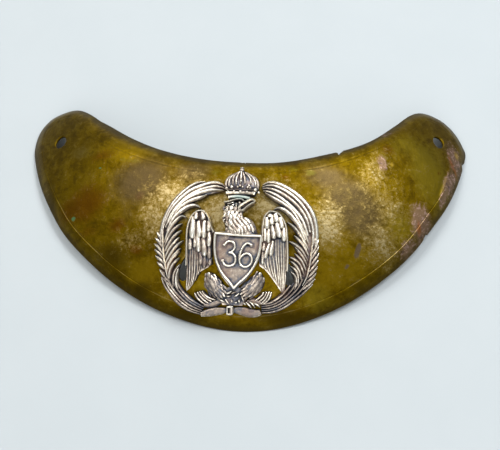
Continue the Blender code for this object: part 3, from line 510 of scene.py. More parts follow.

# %% [markdown]
# ## Dents, then the wall
#
# The old sheet isn't true: it has shallow dents, and creases beside a tear on the right. Small waves come
# from noise in the bending tree, away from the badge, and the few creases are listed in a table. The wall is
# made by copying the face inwards along its normals and joining the two along a half-round rim, which
# keeps the thickness even where the edge turns down.

# %% Where the sheet is creased
BADGE_PLACE = np.array((-4.6, -97.7)) * MM
BADGE_REACH = 30.0 * MM
DENT_DEPTH = 0.55 * MM
DENT_SIZE = 55.0
CALM_BORDER = 6 * MM
Crease = namedtuple("Crease", "x y to_x to_y width rise")
CREASES = (
    Crease(61.0, -9.8, 52.6, -18.6, 0.55, 0.30),
    Crease(60.2, -10.8, 51.6, -19.6, 0.50, -0.32),
    Crease(72.6, 19.0, 68.4, 6.0, 0.8, 0.18),
    Crease(71.2, 17.0, 67.4, 6.5, 0.7, -0.16),
    Crease(57.6, 20.0, 55.4, 12.5, 1.8, -0.10),
    Crease(-2.6, 8.4, -1.7, 5.0, 0.5, -0.20),
)


def creased(points):
    """How far the creases lift each point of the frame."""
    lift = np.zeros(len(points))
    for crease in CREASES:
        start, end = np.array(crease[:2]) * MM, np.array(crease[2:4]) * MM
        along = (end - start) / np.linalg.norm(end - start)
        off = points[:, :2] - start
        share = np.clip(off @ along / np.linalg.norm(end - start), 0, 1)
        near = off - share[:, None] * (end - start)
        lift += crease.rise * MM * np.exp(-((np.linalg.norm(near, axis=1) / (crease.width * MM)) ** 2))
    return lift


near_badge = np.linalg.norm(points_of(flat)[:, :2] - BADGE_PLACE, axis=1) / BADGE_REACH
edge_distance = np.linalg.norm(points_of(flat)[:, None, :2] - RIM[None, ::4], axis=2).min(axis=1)
free = np.clip((near_badge - 0.9) / 0.3, 0, 1) * np.clip(edge_distance / CALM_BORDER, 0, 1)
set_attribute(flat, "free", free)
face = grow("face", flat, chest_bend, gilt, {**BEND, "Dent depth": DENT_DEPTH, "Dent size": DENT_SIZE})
print("deepest crease, mm:", round(float(np.abs(creased(points_of(face))).max() / MM), 2))


# %% The closed wall
def walled(mesh, rim, finish, name):
    """A face made a closed sheet: its back, and a half-round rim between them."""
    top = points_of(mesh)
    top[:, 2] += creased(top)
    mesh.vertices.foreach_set("co", top.astype(np.float32).ravel())
    mesh.update()
    normals = np.array([normal.vector for normal in mesh.vertex_normals])
    back = top - normals * SHEET
    middle = top[:rim] - normals[:rim] * SHEET / 2
    ahead = np.roll(top[:rim], -1, 0) - np.roll(top[:rim], 1, 0)
    outwards = np.cross(ahead, normals[:rim])
    outwards /= np.linalg.norm(outwards, axis=1)[:, None]
    arcs = []
    for angle in np.radians((45, 90, 135)):
        arcs.append(middle + (normals[:rim] * math.cos(angle) + outwards * math.sin(angle)) * SHEET / 2)
    count = len(top)
    faces = [tuple(polygon.vertices) for polygon in mesh.polygons]
    under = [tuple(count + k for k in reversed(corners)) for corners in faces]
    starts = [0, *(2 * count + rim * k for k in range(len(arcs))), count]
    strip = []
    for upper, lower in zip(starts, starts[1:]):
        for k in range(rim):
            n = (k + 1) % rim
            strip.append((upper + n, upper + k, lower + k, lower + n))
    closed = bpy.data.meshes.new(name)
    closed.from_pydata(np.concatenate((top, back, *arcs)).tolist(), [], faces + under + strip)
    closed.materials.append(finish)
    closed.update()
    bpy.data.meshes.remove(mesh)
    return closed


def link(name, data):
    """A new object in the scene, of a mesh, a lamp or a camera."""
    obj = bpy.data.objects.new(name, data)
    bpy.context.scene.collection.objects.link(obj)
    return obj


plate = link("gilt_plate", walled(face, rim_count, gilt, "gilt_plate"))
print("wall:", len(plate.data.polygons), "faces")

# %% [markdown]
# ## Holes, slots and nicks
#
# Each horn has a hole for the ribbon. Two older slots lie half hidden behind the badge, the badge's posts
# go through three small holes, and the rim is nicked. They are cut by one Boolean with a collection of
# cutters, because one pass over a dense sheet is quicker and cleaner than fifteen.

# %% The badge's own frame
BADGE_TURN = math.radians(-4.8)
BADGE_MIDDLE = -(NECK_RADIUS + 26.7 * MM)
BADGE_ASIDE = -4.6 * MM
BADGE_GAP = 0.3 * MM
POSTS = ((-1.4, 8.5), (-6.2, -14.8), (7.0, -14.8))


def badge_to_plan(x, y):
    """The plan place of points of the badge's flat frame, which is upright on the badge."""
    c, s = math.cos(BADGE_TURN), math.sin(BADGE_TURN)
    turned_x, turned_y = x * c - y * s, x * s + y * c
    slope = LEAN - (BADGE_MIDDLE + turned_y / 2 - CAMBER_TOP) / CAMBER_RADIUS
    return BADGE_ASIDE + turned_x, BADGE_MIDDLE + turned_y * np.cos(np.arctan(slope))


def on_plate(x, y, above=0.0):
    """A plan point's place on the bent sheet, in the frame, and the direction square to it."""
    normal = normal_at(x, y)
    return Vector((x + SHIFT[0], y + SHIFT[1], height_at(x, y))) + normal * above, normal


# %% Cutters
cutters = bpy.data.collections.new("cutters")
bpy.context.scene.collection.children.link(cutters)
HOLE_RADIUS = 2.4 * MM
HOLE_ANGLE = math.radians(53.7)
HOLE_FROM_NECK = 14.3 * MM
SLOT = (3.8 * MM, 8.4 * MM)
SLOT_MIDDLE = (1.2 * MM, -10.4 * MM)
SLOT_ASIDE = 17.8 * MM
POST_HOLE_RADIUS = 1.3 * MM
NICK_HEIGHTS = (-10 * MM, 45 * MM)
# Edge, place along it, half width, depth and skew. The small ones are only worn places.
NICKS = (
    ("neck", 0.438, 2.6, 2.2, 0.5), ("neck", -0.020, 0.4, 1.2, 0.0), ("neck", 0.452, 1.2, 1.0, -0.4),
    ("outer", 0.610, 2.6, 1.2, 0.2), ("outer", 0.950, 3.4, 1.1, -0.3), ("outer", 0.705, 1.0, 0.5, 0.0),
    ("outer", 0.872, 1.6, 0.5, 0.3), ("neck", 0.700, 2.4, 0.35, 0.2),
)


def add_cutter(bm, name, place=None, normal=None):
    """Stands a cutter square on the sheet, and keeps it out of the render."""
    if normal is not None:
        turn = normal.to_track_quat("Z", "Y").to_matrix().to_4x4()
        bmesh.ops.transform(bm, matrix=Matrix.Translation(place) @ turn, verts=bm.verts)
    bmesh.ops.recalc_face_normals(bm, faces=bm.faces)
    mesh = bpy.data.meshes.new(name)
    bm.to_mesh(mesh)
    bm.free()
    obj = bpy.data.objects.new(name, mesh)
    obj.hide_render = True
    cutters.objects.link(obj)


def round_cutter(name, plan, radius, stretch=1.0):
    bm = bmesh.new()
    bmesh.ops.create_cone(bm, cap_ends=True, segments=40, radius1=radius, radius2=radius, depth=10 * MM)
    bmesh.ops.scale(bm, vec=(1, stretch, 1), verts=bm.verts)
    add_cutter(bm, name, *on_plate(*plan))


def nick_cutter(name, edge, along, width, depth, skew):
    """A ragged wedge standing on the rim."""
    place = neck_edge(along) if edge == "neck" else outer_edge(along)
    outwards = place / np.linalg.norm(place) * (-1 if edge == "neck" else 1)
    aside = np.array((-outwards[1], outwards[0]))
    shape = (
        (skew * width, -depth), (0.35 * width, -0.45 * depth), (width, depth),
        (-width, depth), (-0.5 * width, -0.3 * depth),
    )
    bm = bmesh.new()
    rings = []
    for z in NICK_HEIGHTS:
        corners = [place + SHIFT + (aside * across + outwards * out) * MM for across, out in shape]
        rings.append([bm.verts.new((*corner, z)) for corner in corners])
    bm.faces.new(rings[0])
    bm.faces.new(rings[1])
    for k in range(len(shape)):
        n = (k + 1) % len(shape)
        bm.faces.new((rings[0][k], rings[0][n], rings[1][n], rings[1][k]))
    add_cutter(bm, name)


for side in (-1, 1):
    angle = side * HOLE_ANGLE
    ribbon = np.array((math.sin(angle), -math.cos(angle))) * (NECK_RADIUS + HOLE_FROM_NECK)
    round_cutter(f"ribbon_hole_{side}", ribbon, HOLE_RADIUS)
    slot = badge_to_plan(SLOT_MIDDLE[0] + side * SLOT_ASIDE, SLOT_MIDDLE[1])
    round_cutter(f"slot_{side}", slot, SLOT[0] / 2, SLOT[1] / SLOT[0])
for number, (x, y) in enumerate(POSTS):
    round_cutter(f"post_hole_{number}", badge_to_plan(x * MM, y * MM), POST_HOLE_RADIUS)
for number, nick in enumerate(NICKS):
    nick_cutter(f"nick_{number}", *nick)

cut = plate.modifiers.new("holes", "BOOLEAN")
cut.operand_type = "COLLECTION"
cut.collection = cutters
cut.solver = "EXACT"
bpy.context.view_layer.update()
graph = bpy.context.evaluated_depsgraph_get()
pierced = bpy.data.meshes.new_from_object(plate.evaluated_get(graph), depsgraph=graph)
plate.modifiers.clear()
plate.data = pierced
for obj in list(cutters.objects):
    bpy.data.objects.remove(obj, do_unlink=True)
bpy.data.collections.remove(cutters)
pierced.materials.clear()
pierced.materials.append(gilt)
print("pierced plate:", len(pierced.polygons), "faces")

# %% [markdown]
# ## What the finish needs to know about a place
#
# Tarnish isn't even, and the engraved line still shines; the turned-down border is darkened by painted shade. Two
# numbers on each point say how far in from the rim it is, in widths of the border, and whether it is on the line.

# %% Border and line, stored on the plate
CHUNK = 4000
spots = points_of(pierced)
nearest = np.empty(len(spots))
width_there = np.empty(len(spots))
rim_place = np.empty(len(spots))
for first in range(0, len(spots), CHUNK):
    chunk = spots[first : first + CHUNK, None, :2] - SHIFT - RIM[None]
    distance = np.linalg.norm(chunk, axis=2)
    best = distance.argmin(axis=1)
    nearest[first : first + CHUNK] = distance[np.arange(len(best)), best] - SHEET / 2
    width_there[first : first + CHUNK] = RIM_WIDTHS[best]
    rim_place[first : first + CHUNK] = best
border = nearest / width_there
face_height = np.array([height_at(x, y) for x, y in spots[:, :2] - SHIFT])
on_face = spots[:, 2] > face_height - 0.4 * SHEET - np.clip(1.2 - border, 0, 1.2) * width_there * FLANGE_FALL
set_attribute(pierced, "border", border)
along = rim_place / (EDGE_STEPS * FINER) * 2 - 1
on_outer = np.clip((0.74 - np.abs(along + 0.02)) / 0.06, 0, 1)
set_attribute(pierced, "line", np.clip(1 - np.abs(border - LINE_AT) / 0.04, 0, 1) * on_face * on_outer)
pierced.shade_smooth()
print("border runs from", round(float(border.min()), 2), "to", round(float(border.max()), 2))

# %% [markdown]
# ## The badge: ridges along lines
#
# The casting is low relief: palm leaves, feathers, rims and figures are all ridges that swell and taper
# along a line. They could be sculpted one by one. A tree that sweeps one profile along every line makes
# them all alike and sharp, and a table of lines is then the drawing of the badge. Lines are in
# millimetres on the badge: X across it, Y up it, from the middle of the shield's upper part.

# %% The tree that turns lines into ridges
PROFILE_SIDES = 18
RIDGE_NUMBERS = ("half", "crest", "edge", "foot", "power")


def ridge_tree():
    """Sweeps a profile along lines. A point's `half`, `crest`, `edge`, `foot` and `power` shape it there."""
    tree, entry, size = new_tree("ridges along lines", ["Undercut"])
    lines = add_node(tree, "GeometryNodeMeshToCurve", {"Mesh": entry.outputs["Geometry"]})
    upright = add_node(tree, "GeometryNodeSetCurveNormal", {"Curve": lines.outputs[0]}, mode="Z_UP")
    ring = add_node(tree, "GeometryNodeCurvePrimitiveCircle", {"Resolution": PROFILE_SIDES, "Radius": 1.0})
    x, y, _ = position_wires(tree)
    under = y.math("LESS_THAN", -0.01)
    wide = (x * (under * size["Undercut"] + 1)).math("MINIMUM", 1.0).math("MAXIMUM", -1.0)
    marked = noted(tree, noted(tree, ring.outputs[0], "under", under), "across", wide)
    profile = moved(tree, marked, wide, y * 0.01, 0.0)
    read = {name: stored_number(tree, name) for name in (*RIDGE_NUMBERS, "under", "across")}
    swept = add_node(
        tree,
        "GeometryNodeCurveToMesh",
        {"Curve": upright.outputs[0], "Profile Curve": profile, "Scale": read["half"], "Fill Caps": True},
    )
    fall = read["across"].math("ABSOLUTE").math("POWER", read["power"])
    top = read["crest"] - (read["crest"] - read["edge"]) * fall
    height = top + (read["foot"] - top) * read["under"]
    spot_x, spot_y, _ = position_wires(tree)
    end_tree(tree, entry, moved(tree, swept.outputs[0], spot_x, spot_y, height))
    return tree


ridges_along_lines = ridge_tree()
print("ridge tree:", len(ridges_along_lines.nodes), "nodes")

# %% Lines that swell and taper
LEAF = ((0.00, 0.55), (0.15, 0.85), (0.45, 1.00), (0.75, 0.86), (0.92, 0.52), (1.00, 0.16))
FEATHER = ((0.00, 0.70), (0.35, 0.90), (0.78, 1.00), (0.93, 0.84), (1.00, 0.45))
BAR = ((0.00, 0.80), (0.10, 1.00), (0.90, 1.00), (1.00, 0.80))
EVEN = ((0.00, 1.00), (1.00, 1.00))
PLUMP = ((0.00, 0.30), (0.08, 0.62), (0.30, 0.98), (0.60, 1.00), (0.88, 0.66), (1.00, 0.30))
LINE_POINTS = 12
lines = {name: [] for name in ("points", "edges", *RIDGE_NUMBERS, "tone")}
dice = np.random.default_rng(36)


def smooth_line(path, count):
    """Even points along the smooth curve through a path."""
    path = np.array(path, float)
    ends = np.concatenate((2 * path[:1] - path[1:2], path, 2 * path[-1:] - path[-2:-1]))
    pieces = []
    for before, a, b, beyond in zip(ends, ends[1:], ends[2:], ends[3:]):
        pieces += [between(before, a, b, beyond, t) for t in np.arange(12) / 12]
    dense = np.array([*pieces, path[-1]])
    lengths = np.concatenate(([0], np.cumsum(np.linalg.norm(np.diff(dense, axis=0), axis=1))))
    at = np.linspace(0, lengths[-1], count)
    return np.stack([np.interp(at, lengths, dense[:, k]) for k in range(dense.shape[1])], axis=1)


def ridge(path, half, crest, edge, power=1.6, shape=LEAF, foot=0.0, slope=0.0, count=LINE_POINTS, dimming=0.0):
    """Adds a line. Its crest rises by `slope` from its root to its tip, and its silver is darkened by `dimming`, or
    lightened where that is below zero.
    """
    points = smooth_line(path, count)
    first = len(lines["points"])
    tone = 0.16 * (dice.random() - 0.5) - dimming
    for k, (x, y) in enumerate(points):
        share = k / (count - 1)
        swell = read_table(shape, share)
        top = crest + slope * (share - 0.5)
        lines["points"].append((x * MM, y * MM, 0))
        lines["half"].append(half * swell * MM)
        lines["crest"].append((edge + (top - edge) * min(1, 0.45 + 0.55 * swell)) * MM)
        lines["edge"].append(edge * MM)
        lines["foot"].append(foot * MM)
        lines["power"].append(power)
        lines["tone"].append(tone)
        if k:
            lines["edges"].append((first + k - 1, first + k))


print("line shapes:", len(LEAF), "rows for a leaf,", len(FEATHER), "for a feather")

# %% [markdown]
# ## The palm wreath
#
# Two palm branches cross at the foot and meet under the crown. Leaflets flow out of each midrib: long
# parallel ones at the top, curling ones inside, short ones outside, and a band of bare stems below. Each
# leaflet is one line, because on the real casting no two are quite the same.

# %% Leaflets of both branches
# Each kind's half width, crest, edge height and power, in millimetres but for the last.
LEAVES = {
    "plume": (0.92, 2.25, 1.35, 1.35),
    "inner": (0.82, 2.15, 1.10, 1.35),
    "outer": (0.78, 2.00, 1.00, 1.35),
    "band": (0.50, 2.05, 1.10, 1.70),
    "rib": (0.46, 2.40, 1.40, 1.35),
    "spine": (1.70, 1.00, 0.85, 6.00),
}
WREATH = (
    (
        "plume",
        (
            (
                (-25.3, -2.0), (-25.4, 2.4), (-24.4, 7.5), (-21.8, 12.7), (-18.1, 16.7), (-14.9, 18.7),
                (-12.1, 19.2),
            ),
            (
                (-24.8, 4.1), (-23.1, 9.2), (-20.2, 13.2), (-16.4, 16.4), (-12.0, 18.2), (-8.4, 19.0),
                (-5.9, 18.2), (-4.8, 17.2),
            ),
            (
                (-24.1, 3.8), (-22.3, 8.5), (-19.3, 12.4), (-15.5, 15.3), (-11.2, 17.1), (-7.5, 17.7),
                (-5.0, 16.8),
            ),
            ((-23.2, 5.5), (-21.1, 9.8), (-18.2, 13.0), (-14.2, 15.2), (-9.9, 16.4), (-5.3, 16.3)),
            ((-22.6, 5.1), (-19.9, 10.3), (-16.1, 12.9), (-12.5, 14.1), (-11.0, 14.7)),
            ((-23.5, 2.6), (-21.7, 6.9), (-19.0, 9.6), (-16.4, 11.0), (-14.1, 11.0), (-12.9, 10.2)),
        ),
    ),
    (
        "inner",
        (
            ((-24.1, -1.2), (-23.0, 2.6), (-21.2, 5.7), (-19.1, 7.5), (-17.3, 7.0)),
            ((-24.0, -2.9), (-22.8, 0.5), (-21.2, 3.2), (-19.4, 4.6), (-18.7, 5.0)),
            ((-23.8, -4.7), (-22.6, -1.7), (-21.0, 0.9), (-19.2, 2.3), (-18.6, 2.6)),
            ((-23.5, -6.6), (-22.3, -3.6), (-20.6, -1.1), (-19.2, 0.4)),
            ((-23.1, -8.4), (-21.9, -5.6), (-20.1, -2.7), (-17.8, -0.8)),
            ((-22.7, -10.0), (-21.6, -7.2), (-19.9, -4.8), (-18.4, -3.3)),
            ((-22.3, -12.3), (-22.0, -9.1), (-20.8, -6.5), (-18.6, -4.4)),
            ((-21.4, -14.3), (-21.4, -10.9), (-20.4, -8.4), (-18.6, -6.5)),
            ((-19.8, -16.2), (-20.0, -12.9), (-19.4, -10.6), (-18.1, -8.7)),
            ((-17.9, -17.7), (-18.8, -15.3), (-19.0, -12.4), (-18.5, -10.1)),
        ),
    ),
    (
        "outer",
        (
            ((-24.8, -1.1), (-25.9, 1.0), (-27.1, 2.5)), ((-24.6, -2.9), (-26.1, -0.6), (-27.5, 0.5)),
            ((-24.3, -4.8), (-26.0, -2.7), (-27.6, -1.4)), ((-23.9, -6.6), (-25.6, -4.7), (-27.3, -3.2)),
            ((-23.5, -8.4), (-25.2, -6.7), (-26.9, -5.4)), ((-22.9, -10.4), (-24.6, -8.8), (-26.1, -7.6)),
            ((-21.1, -14.7), (-23.3, -12.3), (-25.0, -10.1)),
            ((-19.5, -17.0), (-22.0, -14.8), (-24.0, -12.7)),
        ),
    ),
    ("rib", (((-21.4, -14.5), (-22.6, -10.6), (-23.7, -6.6), (-24.4, -2.1), (-24.8, 2.4), (-24.1, 6.5)),)),
    (
        "band",
        (
            ((-9.9, -25.6), (-13.9, -24.2), (-17.5, -21.9), (-20.7, -18.4), (-22.9, -15.3), (-24.0, -12.8)),
            ((-9.7, -25.0), (-13.5, -23.6), (-16.9, -21.3), (-19.9, -18.2), (-22.1, -14.9), (-23.3, -11.2)),
            ((-9.4, -24.4), (-13.2, -22.8), (-16.2, -20.7), (-19.0, -17.9), (-21.1, -14.8), (-22.4, -11.4)),
            ((-9.0, -23.8), (-12.9, -22.0), (-15.5, -20.1), (-18.1, -17.3), (-19.9, -14.6)),
            ((-8.7, -23.2), (-12.4, -21.4), (-14.9, -19.6), (-17.0, -17.3), (-18.3, -15.2)),
        ),
    ),
    (
        "spine",
        (
            ((-18.6, -17.4), (-21.6, -12.2), (-23.2, -6.5), (-24.2, -1.5), (-24.4, 3.0)),
            ((-23.8, 3.0), (-21.0, 9.2), (-16.6, 13.6), (-12.0, 16.2), (-7.0, 17.6)),
        ),
    ),
    (
        "plume",
        (
            (
                (26.7, 0.8), (26.9, 4.6), (25.9, 9.6), (24.0, 13.2), (20.8, 16.3), (16.9, 18.7), (12.9, 20.2),
                (10.0, 20.5), (7.5, 19.3),
            ),
            (
                (25.9, 1.4), (25.6, 5.9), (24.2, 9.9), (21.8, 13.4), (18.3, 16.4), (14.4, 18.4), (10.5, 19.4),
                (7.4, 18.5),
            ),
            ((24.6, 5.4), (23.2, 9.2), (20.6, 12.7), (17.1, 15.4), (13.2, 17.4), (9.8, 18.2), (7.5, 17.9)),
            ((24.0, 4.1), (22.2, 8.1), (19.5, 11.4), (15.9, 14.1), (12.5, 16.1), (9.5, 17.1), (7.8, 17.2)),
            ((23.6, 3.2), (21.0, 7.6), (18.1, 11.5), (14.7, 13.7), (11.3, 15.2), (8.4, 16.6)),
            ((23.2, 2.4), (21.1, 6.3), (18.5, 9.4), (15.9, 11.4), (13.6, 12.0), (11.9, 11.3)),
        ),
    ),
    (
        "inner",
        (
            ((24.4, 1.6), (22.5, 5.2), (20.2, 7.7), (18.0, 9.1)),
            ((24.4, -0.4), (21.9, 3.3), (19.2, 6.1), (16.7, 7.6)),
            ((24.6, -2.5), (22.9, 0.5), (21.2, 2.1), (19.3, 3.4)),
            ((24.5, -4.2), (22.2, -1.1), (20.0, 0.4), (17.6, 1.2)),
            ((24.5, -6.0), (23.0, -3.5), (21.5, -1.8), (19.9, -0.4)),
            ((24.2, -7.7), (22.7, -4.9), (21.3, -3.5), (20.1, -2.8)),
            ((23.7, -9.2), (22.2, -6.2), (20.4, -4.7), (18.3, -4.0)),
            ((23.0, -11.3), (22.0, -8.3), (20.6, -6.4), (18.7, -5.3)),
            ((22.0, -13.3), (21.8, -10.6), (21.1, -8.4), (19.1, -7.1)),
            ((20.9, -14.8), (21.4, -12.5), (20.9, -10.3), (19.3, -8.9)),
        ),
    ),
    (
        "outer",
        (
            ((25.5, -0.1), (26.4, 2.8), (26.9, 5.1)), ((25.6, -2.1), (26.8, 0.6), (27.6, 3.5)),
            ((25.4, -4.1), (26.7, -1.7), (27.9, 1.4)), ((25.3, -6.2), (26.8, -3.9), (28.1, -1.0)),
            ((25.1, -8.3), (26.7, -6.0), (28.1, -3.3)), ((24.8, -10.3), (26.5, -8.1), (28.0, -5.5)),
            ((24.3, -12.5), (26.2, -10.2), (27.8, -7.7)), ((23.4, -14.6), (25.5, -12.5), (27.5, -9.9)),
        ),
    ),
    ("rib", (((23.4, -13.0), (24.6, -9.8), (25.2, -6.0), (25.5, -2.0), (25.6, 2.0), (25.3, 6.0)),)),
    (
        "band",
        (
            ((10.7, -24.0), (14.2, -23.3), (17.6, -21.5), (20.9, -18.6), (24.0, -15.4), (26.8, -11.9)),
            ((10.6, -23.3), (14.1, -22.5), (17.4, -20.7), (20.5, -17.8), (23.2, -14.5), (25.0, -10.8)),
            ((10.5, -22.6), (13.9, -21.8), (17.0, -19.9), (19.8, -17.1), (22.0, -14.0), (23.4, -10.6)),
            ((10.4, -21.9), (13.7, -21.0), (16.5, -19.2), (18.9, -16.7), (20.7, -13.8), (21.8, -10.8)),
            ((10.3, -21.2), (13.3, -20.3), (15.8, -18.5), (17.8, -16.1), (19.4, -13.5)),
        ),
    ),
    (
        "spine",
        (
            ((20.0, -16.6), (22.9, -11.6), (24.4, -6.0), (25.0, -1.0), (24.9, 4.0)),
            ((24.8, 3.0), (23.1, 8.5), (19.4, 13.2), (14.8, 16.6), (9.4, 18.4)),
        ),
    ),
)
for kind, paths in WREATH:
    half, crest, edge, power = LEAVES[kind]
    shape = EVEN if kind == "spine" else BAR if kind == "band" else LEAF
    dimming = 0.16 if kind == "band" else -0.03
    for path in paths:
        ridge(path, half, crest + 0.2 * dice.random(), edge, power, shape, slope=0.2, count=18, dimming=dimming)
print("leaflets:", sum(len(paths) for _, paths in WREATH))

# %% [markdown]
# ## The wings
#
# Each wing hangs beside the shield: a rounded top with short scales, longer covert feathers below, and
# long primaries that run down to a point, all inside a bright raised rim. Feathers overlap like tiles, so
# the upper ones stand higher. A thin plate of metal behind them closes the gaps.

# %% Feathers of both wings
# Each scale runs from its root to its rounded tip: x, y, to_x, to_y and its half width, in millimetres.
SCALES = (
    (-13.9, 8.5, -13.9, 6.2, 0.66), (-12.1, 8.7, -11.4, 6.1, 0.70), (-14.9, 7.2, -14.6, -0.1, 0.92),
    (-13.1, 5.7, -12.2, 0.3, 0.76), (-11.0, 5.9, -10.7, 0.0, 0.71), (-9.7, 5.7, -9.3, 2.2, 0.60),
    (-14.0, 0.5, -13.5, -3.2, 0.60), (-13.1, 2.5, -12.0, -4.6, 0.82), (-11.2, 0.0, -9.9, -6.1, 0.90),
    (-9.2, 2.0, -8.8, -2.8, 0.73), (-15.3, -0.1, -15.0, -3.9, 0.70), (-8.7, -2.7, -8.3, -6.9, 0.73),
    (-11.7, -4.7, -11.0, -9.0, 0.82), (-9.9, -5.9, -9.8, -10.0, 0.73), (-8.2, -6.9, -8.1, -9.0, 0.71),
    (10.8, 9.4, 10.9, 8.3, 1.00), (12.4, 9.8, 13.2, 7.0, 0.78), (9.6, 8.2, 10.0, 4.4, 0.70),
    (11.4, 8.5, 11.7, 5.9, 0.66), (14.1, 8.8, 15.1, 5.1, 0.72), (9.3, 4.6, 9.7, 0.2, 0.54),
    (10.7, 4.5, 10.9, -0.2, 0.62), (11.6, 5.6, 12.7, 1.3, 0.73), (13.2, 6.8, 14.6, 2.0, 0.92),
    (15.6, 5.4, 16.0, 0.9, 0.68), (9.4, -0.5, 9.4, -3.2, 0.65), (11.5, 0.0, 10.2, -5.5, 0.60),
    (12.4, 0.6, 12.0, -4.5, 0.60), (9.2, -3.0, 9.5, -7.6, 0.55),
)
PRIMARIES = (
    ((-15.8, -3.1), (-15.5, -9.1), (-15.2, -14.5), (-15.2, -17.4)),
    ((-15.0, -3.6), (-14.7, -9.0), (-14.5, -14.2), (-14.9, -17.2)),
    ((-14.2, -3.2), (-13.9, -8.4), (-13.7, -13.3), (-14.3, -16.6)),
    ((-13.4, -3.4), (-13.0, -7.8), (-12.9, -12.1), (-13.5, -15.7)),
    ((-12.7, -4.7), (-12.2, -8.2), (-12.1, -11.8), (-12.6, -14.3)),
    ((-11.4, -8.2), (-11.3, -10.2), (-11.8, -12.4)),
    ((16.6, 0.7), (17.2, -4.9), (17.5, -10.6), (17.5, -15.7)),
    ((15.9, 0.4), (16.5, -5.3), (17.0, -10.9), (17.1, -15.9)),
    ((15.1, 0.6), (15.6, -4.8), (16.3, -10.2), (16.8, -15.6)),
    ((14.1, 1.3), (14.7, -4.3), (15.6, -10.0), (16.3, -14.9)),
    ((13.3, 1.0), (13.9, -4.4), (14.8, -9.2), (15.6, -13.8)),
    ((12.6, -4.0), (13.3, -7.2), (14.1, -10.6), (14.8, -12.8)),
    ((11.7, -4.3), (12.3, -7.0), (13.0, -9.4), (13.8, -11.7)),
    ((10.7, -4.7), (11.2, -6.5), (11.7, -8.4), (12.6, -10.3)),
    ((9.9, -6.4), (10.3, -7.7), (11.0, -9.1)),
)
WING_EDGE = {
    -1: (
        (-12.9, 9.6), (-15.0, 8.4), (-16.0, 5.8), (-16.2, 1.5), (-16.1, -3.5), (-15.9, -7.6), (-15.7, -11.7),
        (-15.6, -15.0), (-15.2, -17.7), (-14.2, -16.9), (-13.1, -15.2), (-12.1, -12.2), (-10.6, -10.9),
        (-8.6, -9.7), (-7.5, -8.6), (-7.5, -5.2), (-8.0, -1.1), (-8.1, 2.2), (-9.0, 5.4), (-10.2, 7.8),
        (-11.6, 9.3),
    ),
    1: (
        (10.3, 10.9), (8.9, 9.4), (8.3, 7.0), (8.3, 2.8), (8.1, -1.4), (8.3, -5.5), (8.6, -8.2), (10.4, -9.2),
        (12.2, -10.9), (14.1, -13.1), (15.9, -15.3), (16.9, -16.4), (17.6, -15.9), (17.9, -12.1),
        (17.8, -6.8), (17.4, -0.6), (16.9, 3.5), (16.0, 7.2), (14.0, 9.7), (12.0, 10.8),
    ),
}
for x, y, to_x, to_y, half in SCALES:
    crest = 2.30 + 0.05 * y
    middle = ((x + to_x) / 2 + 0.3 * (dice.random() - 0.5), (y + to_y) / 2)
    path = ((x, y), middle, (to_x, to_y))
    # Painted light: scales of the right wing (x > 0) are made lighter.
    dimming = 0.016 * (3 - y) - (0.12 if x > 0 else 0.0)
    ridge(path, half + 0.30, crest, crest - 1.05, 2.3, FEATHER, slope=0.35, count=12, dimming=dimming)
for path in PRIMARIES:
    bowed = [(x + 0.22 * (dice.random() - 0.5), y) for x, y in path[1:-1]]
    # Painted light: primaries of the right wing are made lighter.
    dimming = -0.10 if path[0][0] > 0 else 0.02
    ridge((path[0], *bowed, path[-1]), 0.52, 1.85, 1.0, 1.6, FEATHER, slope=-0.1, dimming=dimming)
RIMS = (
    (
        (-15.9, -9.1), (-16.2, -3.7), (-16.6, 1.7), (-16.4, 4.4), (-15.7, 6.9), (-14.4, 8.6), (-13.0, 9.2),
        (-11.3, 8.9), (-9.7, 6.8), (-8.7, 4.0), (-7.6, 2.0),
    ),
    (
        (8.8, -0.2), (8.6, 4.4), (8.7, 7.5), (9.2, 9.1), (10.3, 10.2), (11.9, 10.4), (13.7, 9.8), (15.4, 7.8),
        (16.5, 5.3), (17.1, 1.1), (17.7, -4.1), (17.9, -8.9),
    ),
)
for path in RIMS:
    ridge(path, 0.42, 2.6, 1.6, 2.2, EVEN, count=44, dimming=-0.18)
print("scales:", len(SCALES), "primaries:", len(PRIMARIES))

# %% [markdown]
# ## Plain plates of the casting
#
# Behind the ridges the casting has flat metal: the shield's field, the backs of the wings, and the ground
# between the legs. A flat polygon with few points would cut into the bent plate below, so each is split
# until its edges are short enough to bend with it.

# %% Flat plates with a back
LONGEST_EDGE = 1.1 * MM
WING_TOP = 1.35
POST_RADIUS, POST_TOP, POST_END = 1.0, 0.6, -3.1
slabs = bmesh.new()


def slab(corners, top, foot=0.0, crown=0.0):
    """A plate between two heights, its top a little crowned towards the middle."""
    bm = bmesh.new()
    face = bm.faces.new([bm.verts.new((x * MM, y * MM, top * MM)) for x, y in corners])
    face.normal_update()
    if face.normal.z < 0:
        face.normal_flip()
    bmesh.ops.triangulate(bm, faces=bm.faces)
    while True:
        long_edges = [edge for edge in bm.edges if edge.calc_length() > LONGEST_EDGE]
        if not long_edges:
            break
        bmesh.ops.subdivide_edges(bm, edges=long_edges, cuts=1)
        bmesh.ops.triangulate(bm, faces=[face for face in bm.faces if len(face.verts) > 3])
    made = bmesh.ops.extrude_face_region(bm, geom=bm.faces[:])
    lower = [item for item in made["geom"] if isinstance(item, bmesh.types.BMVert)]
    for vert in lower:
        vert.co.z = foot * MM
    bmesh.ops.recalc_face_normals(bm, faces=bm.faces)
    middle = Vector((*(np.mean(corners, axis=0) * MM), 0))
    reach = max((Vector((x * MM, y * MM, 0)) - middle).length for x, y in corners)
    if crown:
        for vert in bm.verts:
            if vert.co.z > (top + foot) / 2 * MM:
                share = (vert.co.xy - middle.xy).length / reach
                vert.co.z += crown * MM * (1 - share * share)
    scratch = bpy.data.meshes.new("scratch")
    bm.to_mesh(scratch)
    bm.free()
    slabs.from_mesh(scratch)
    bpy.data.meshes.remove(scratch)


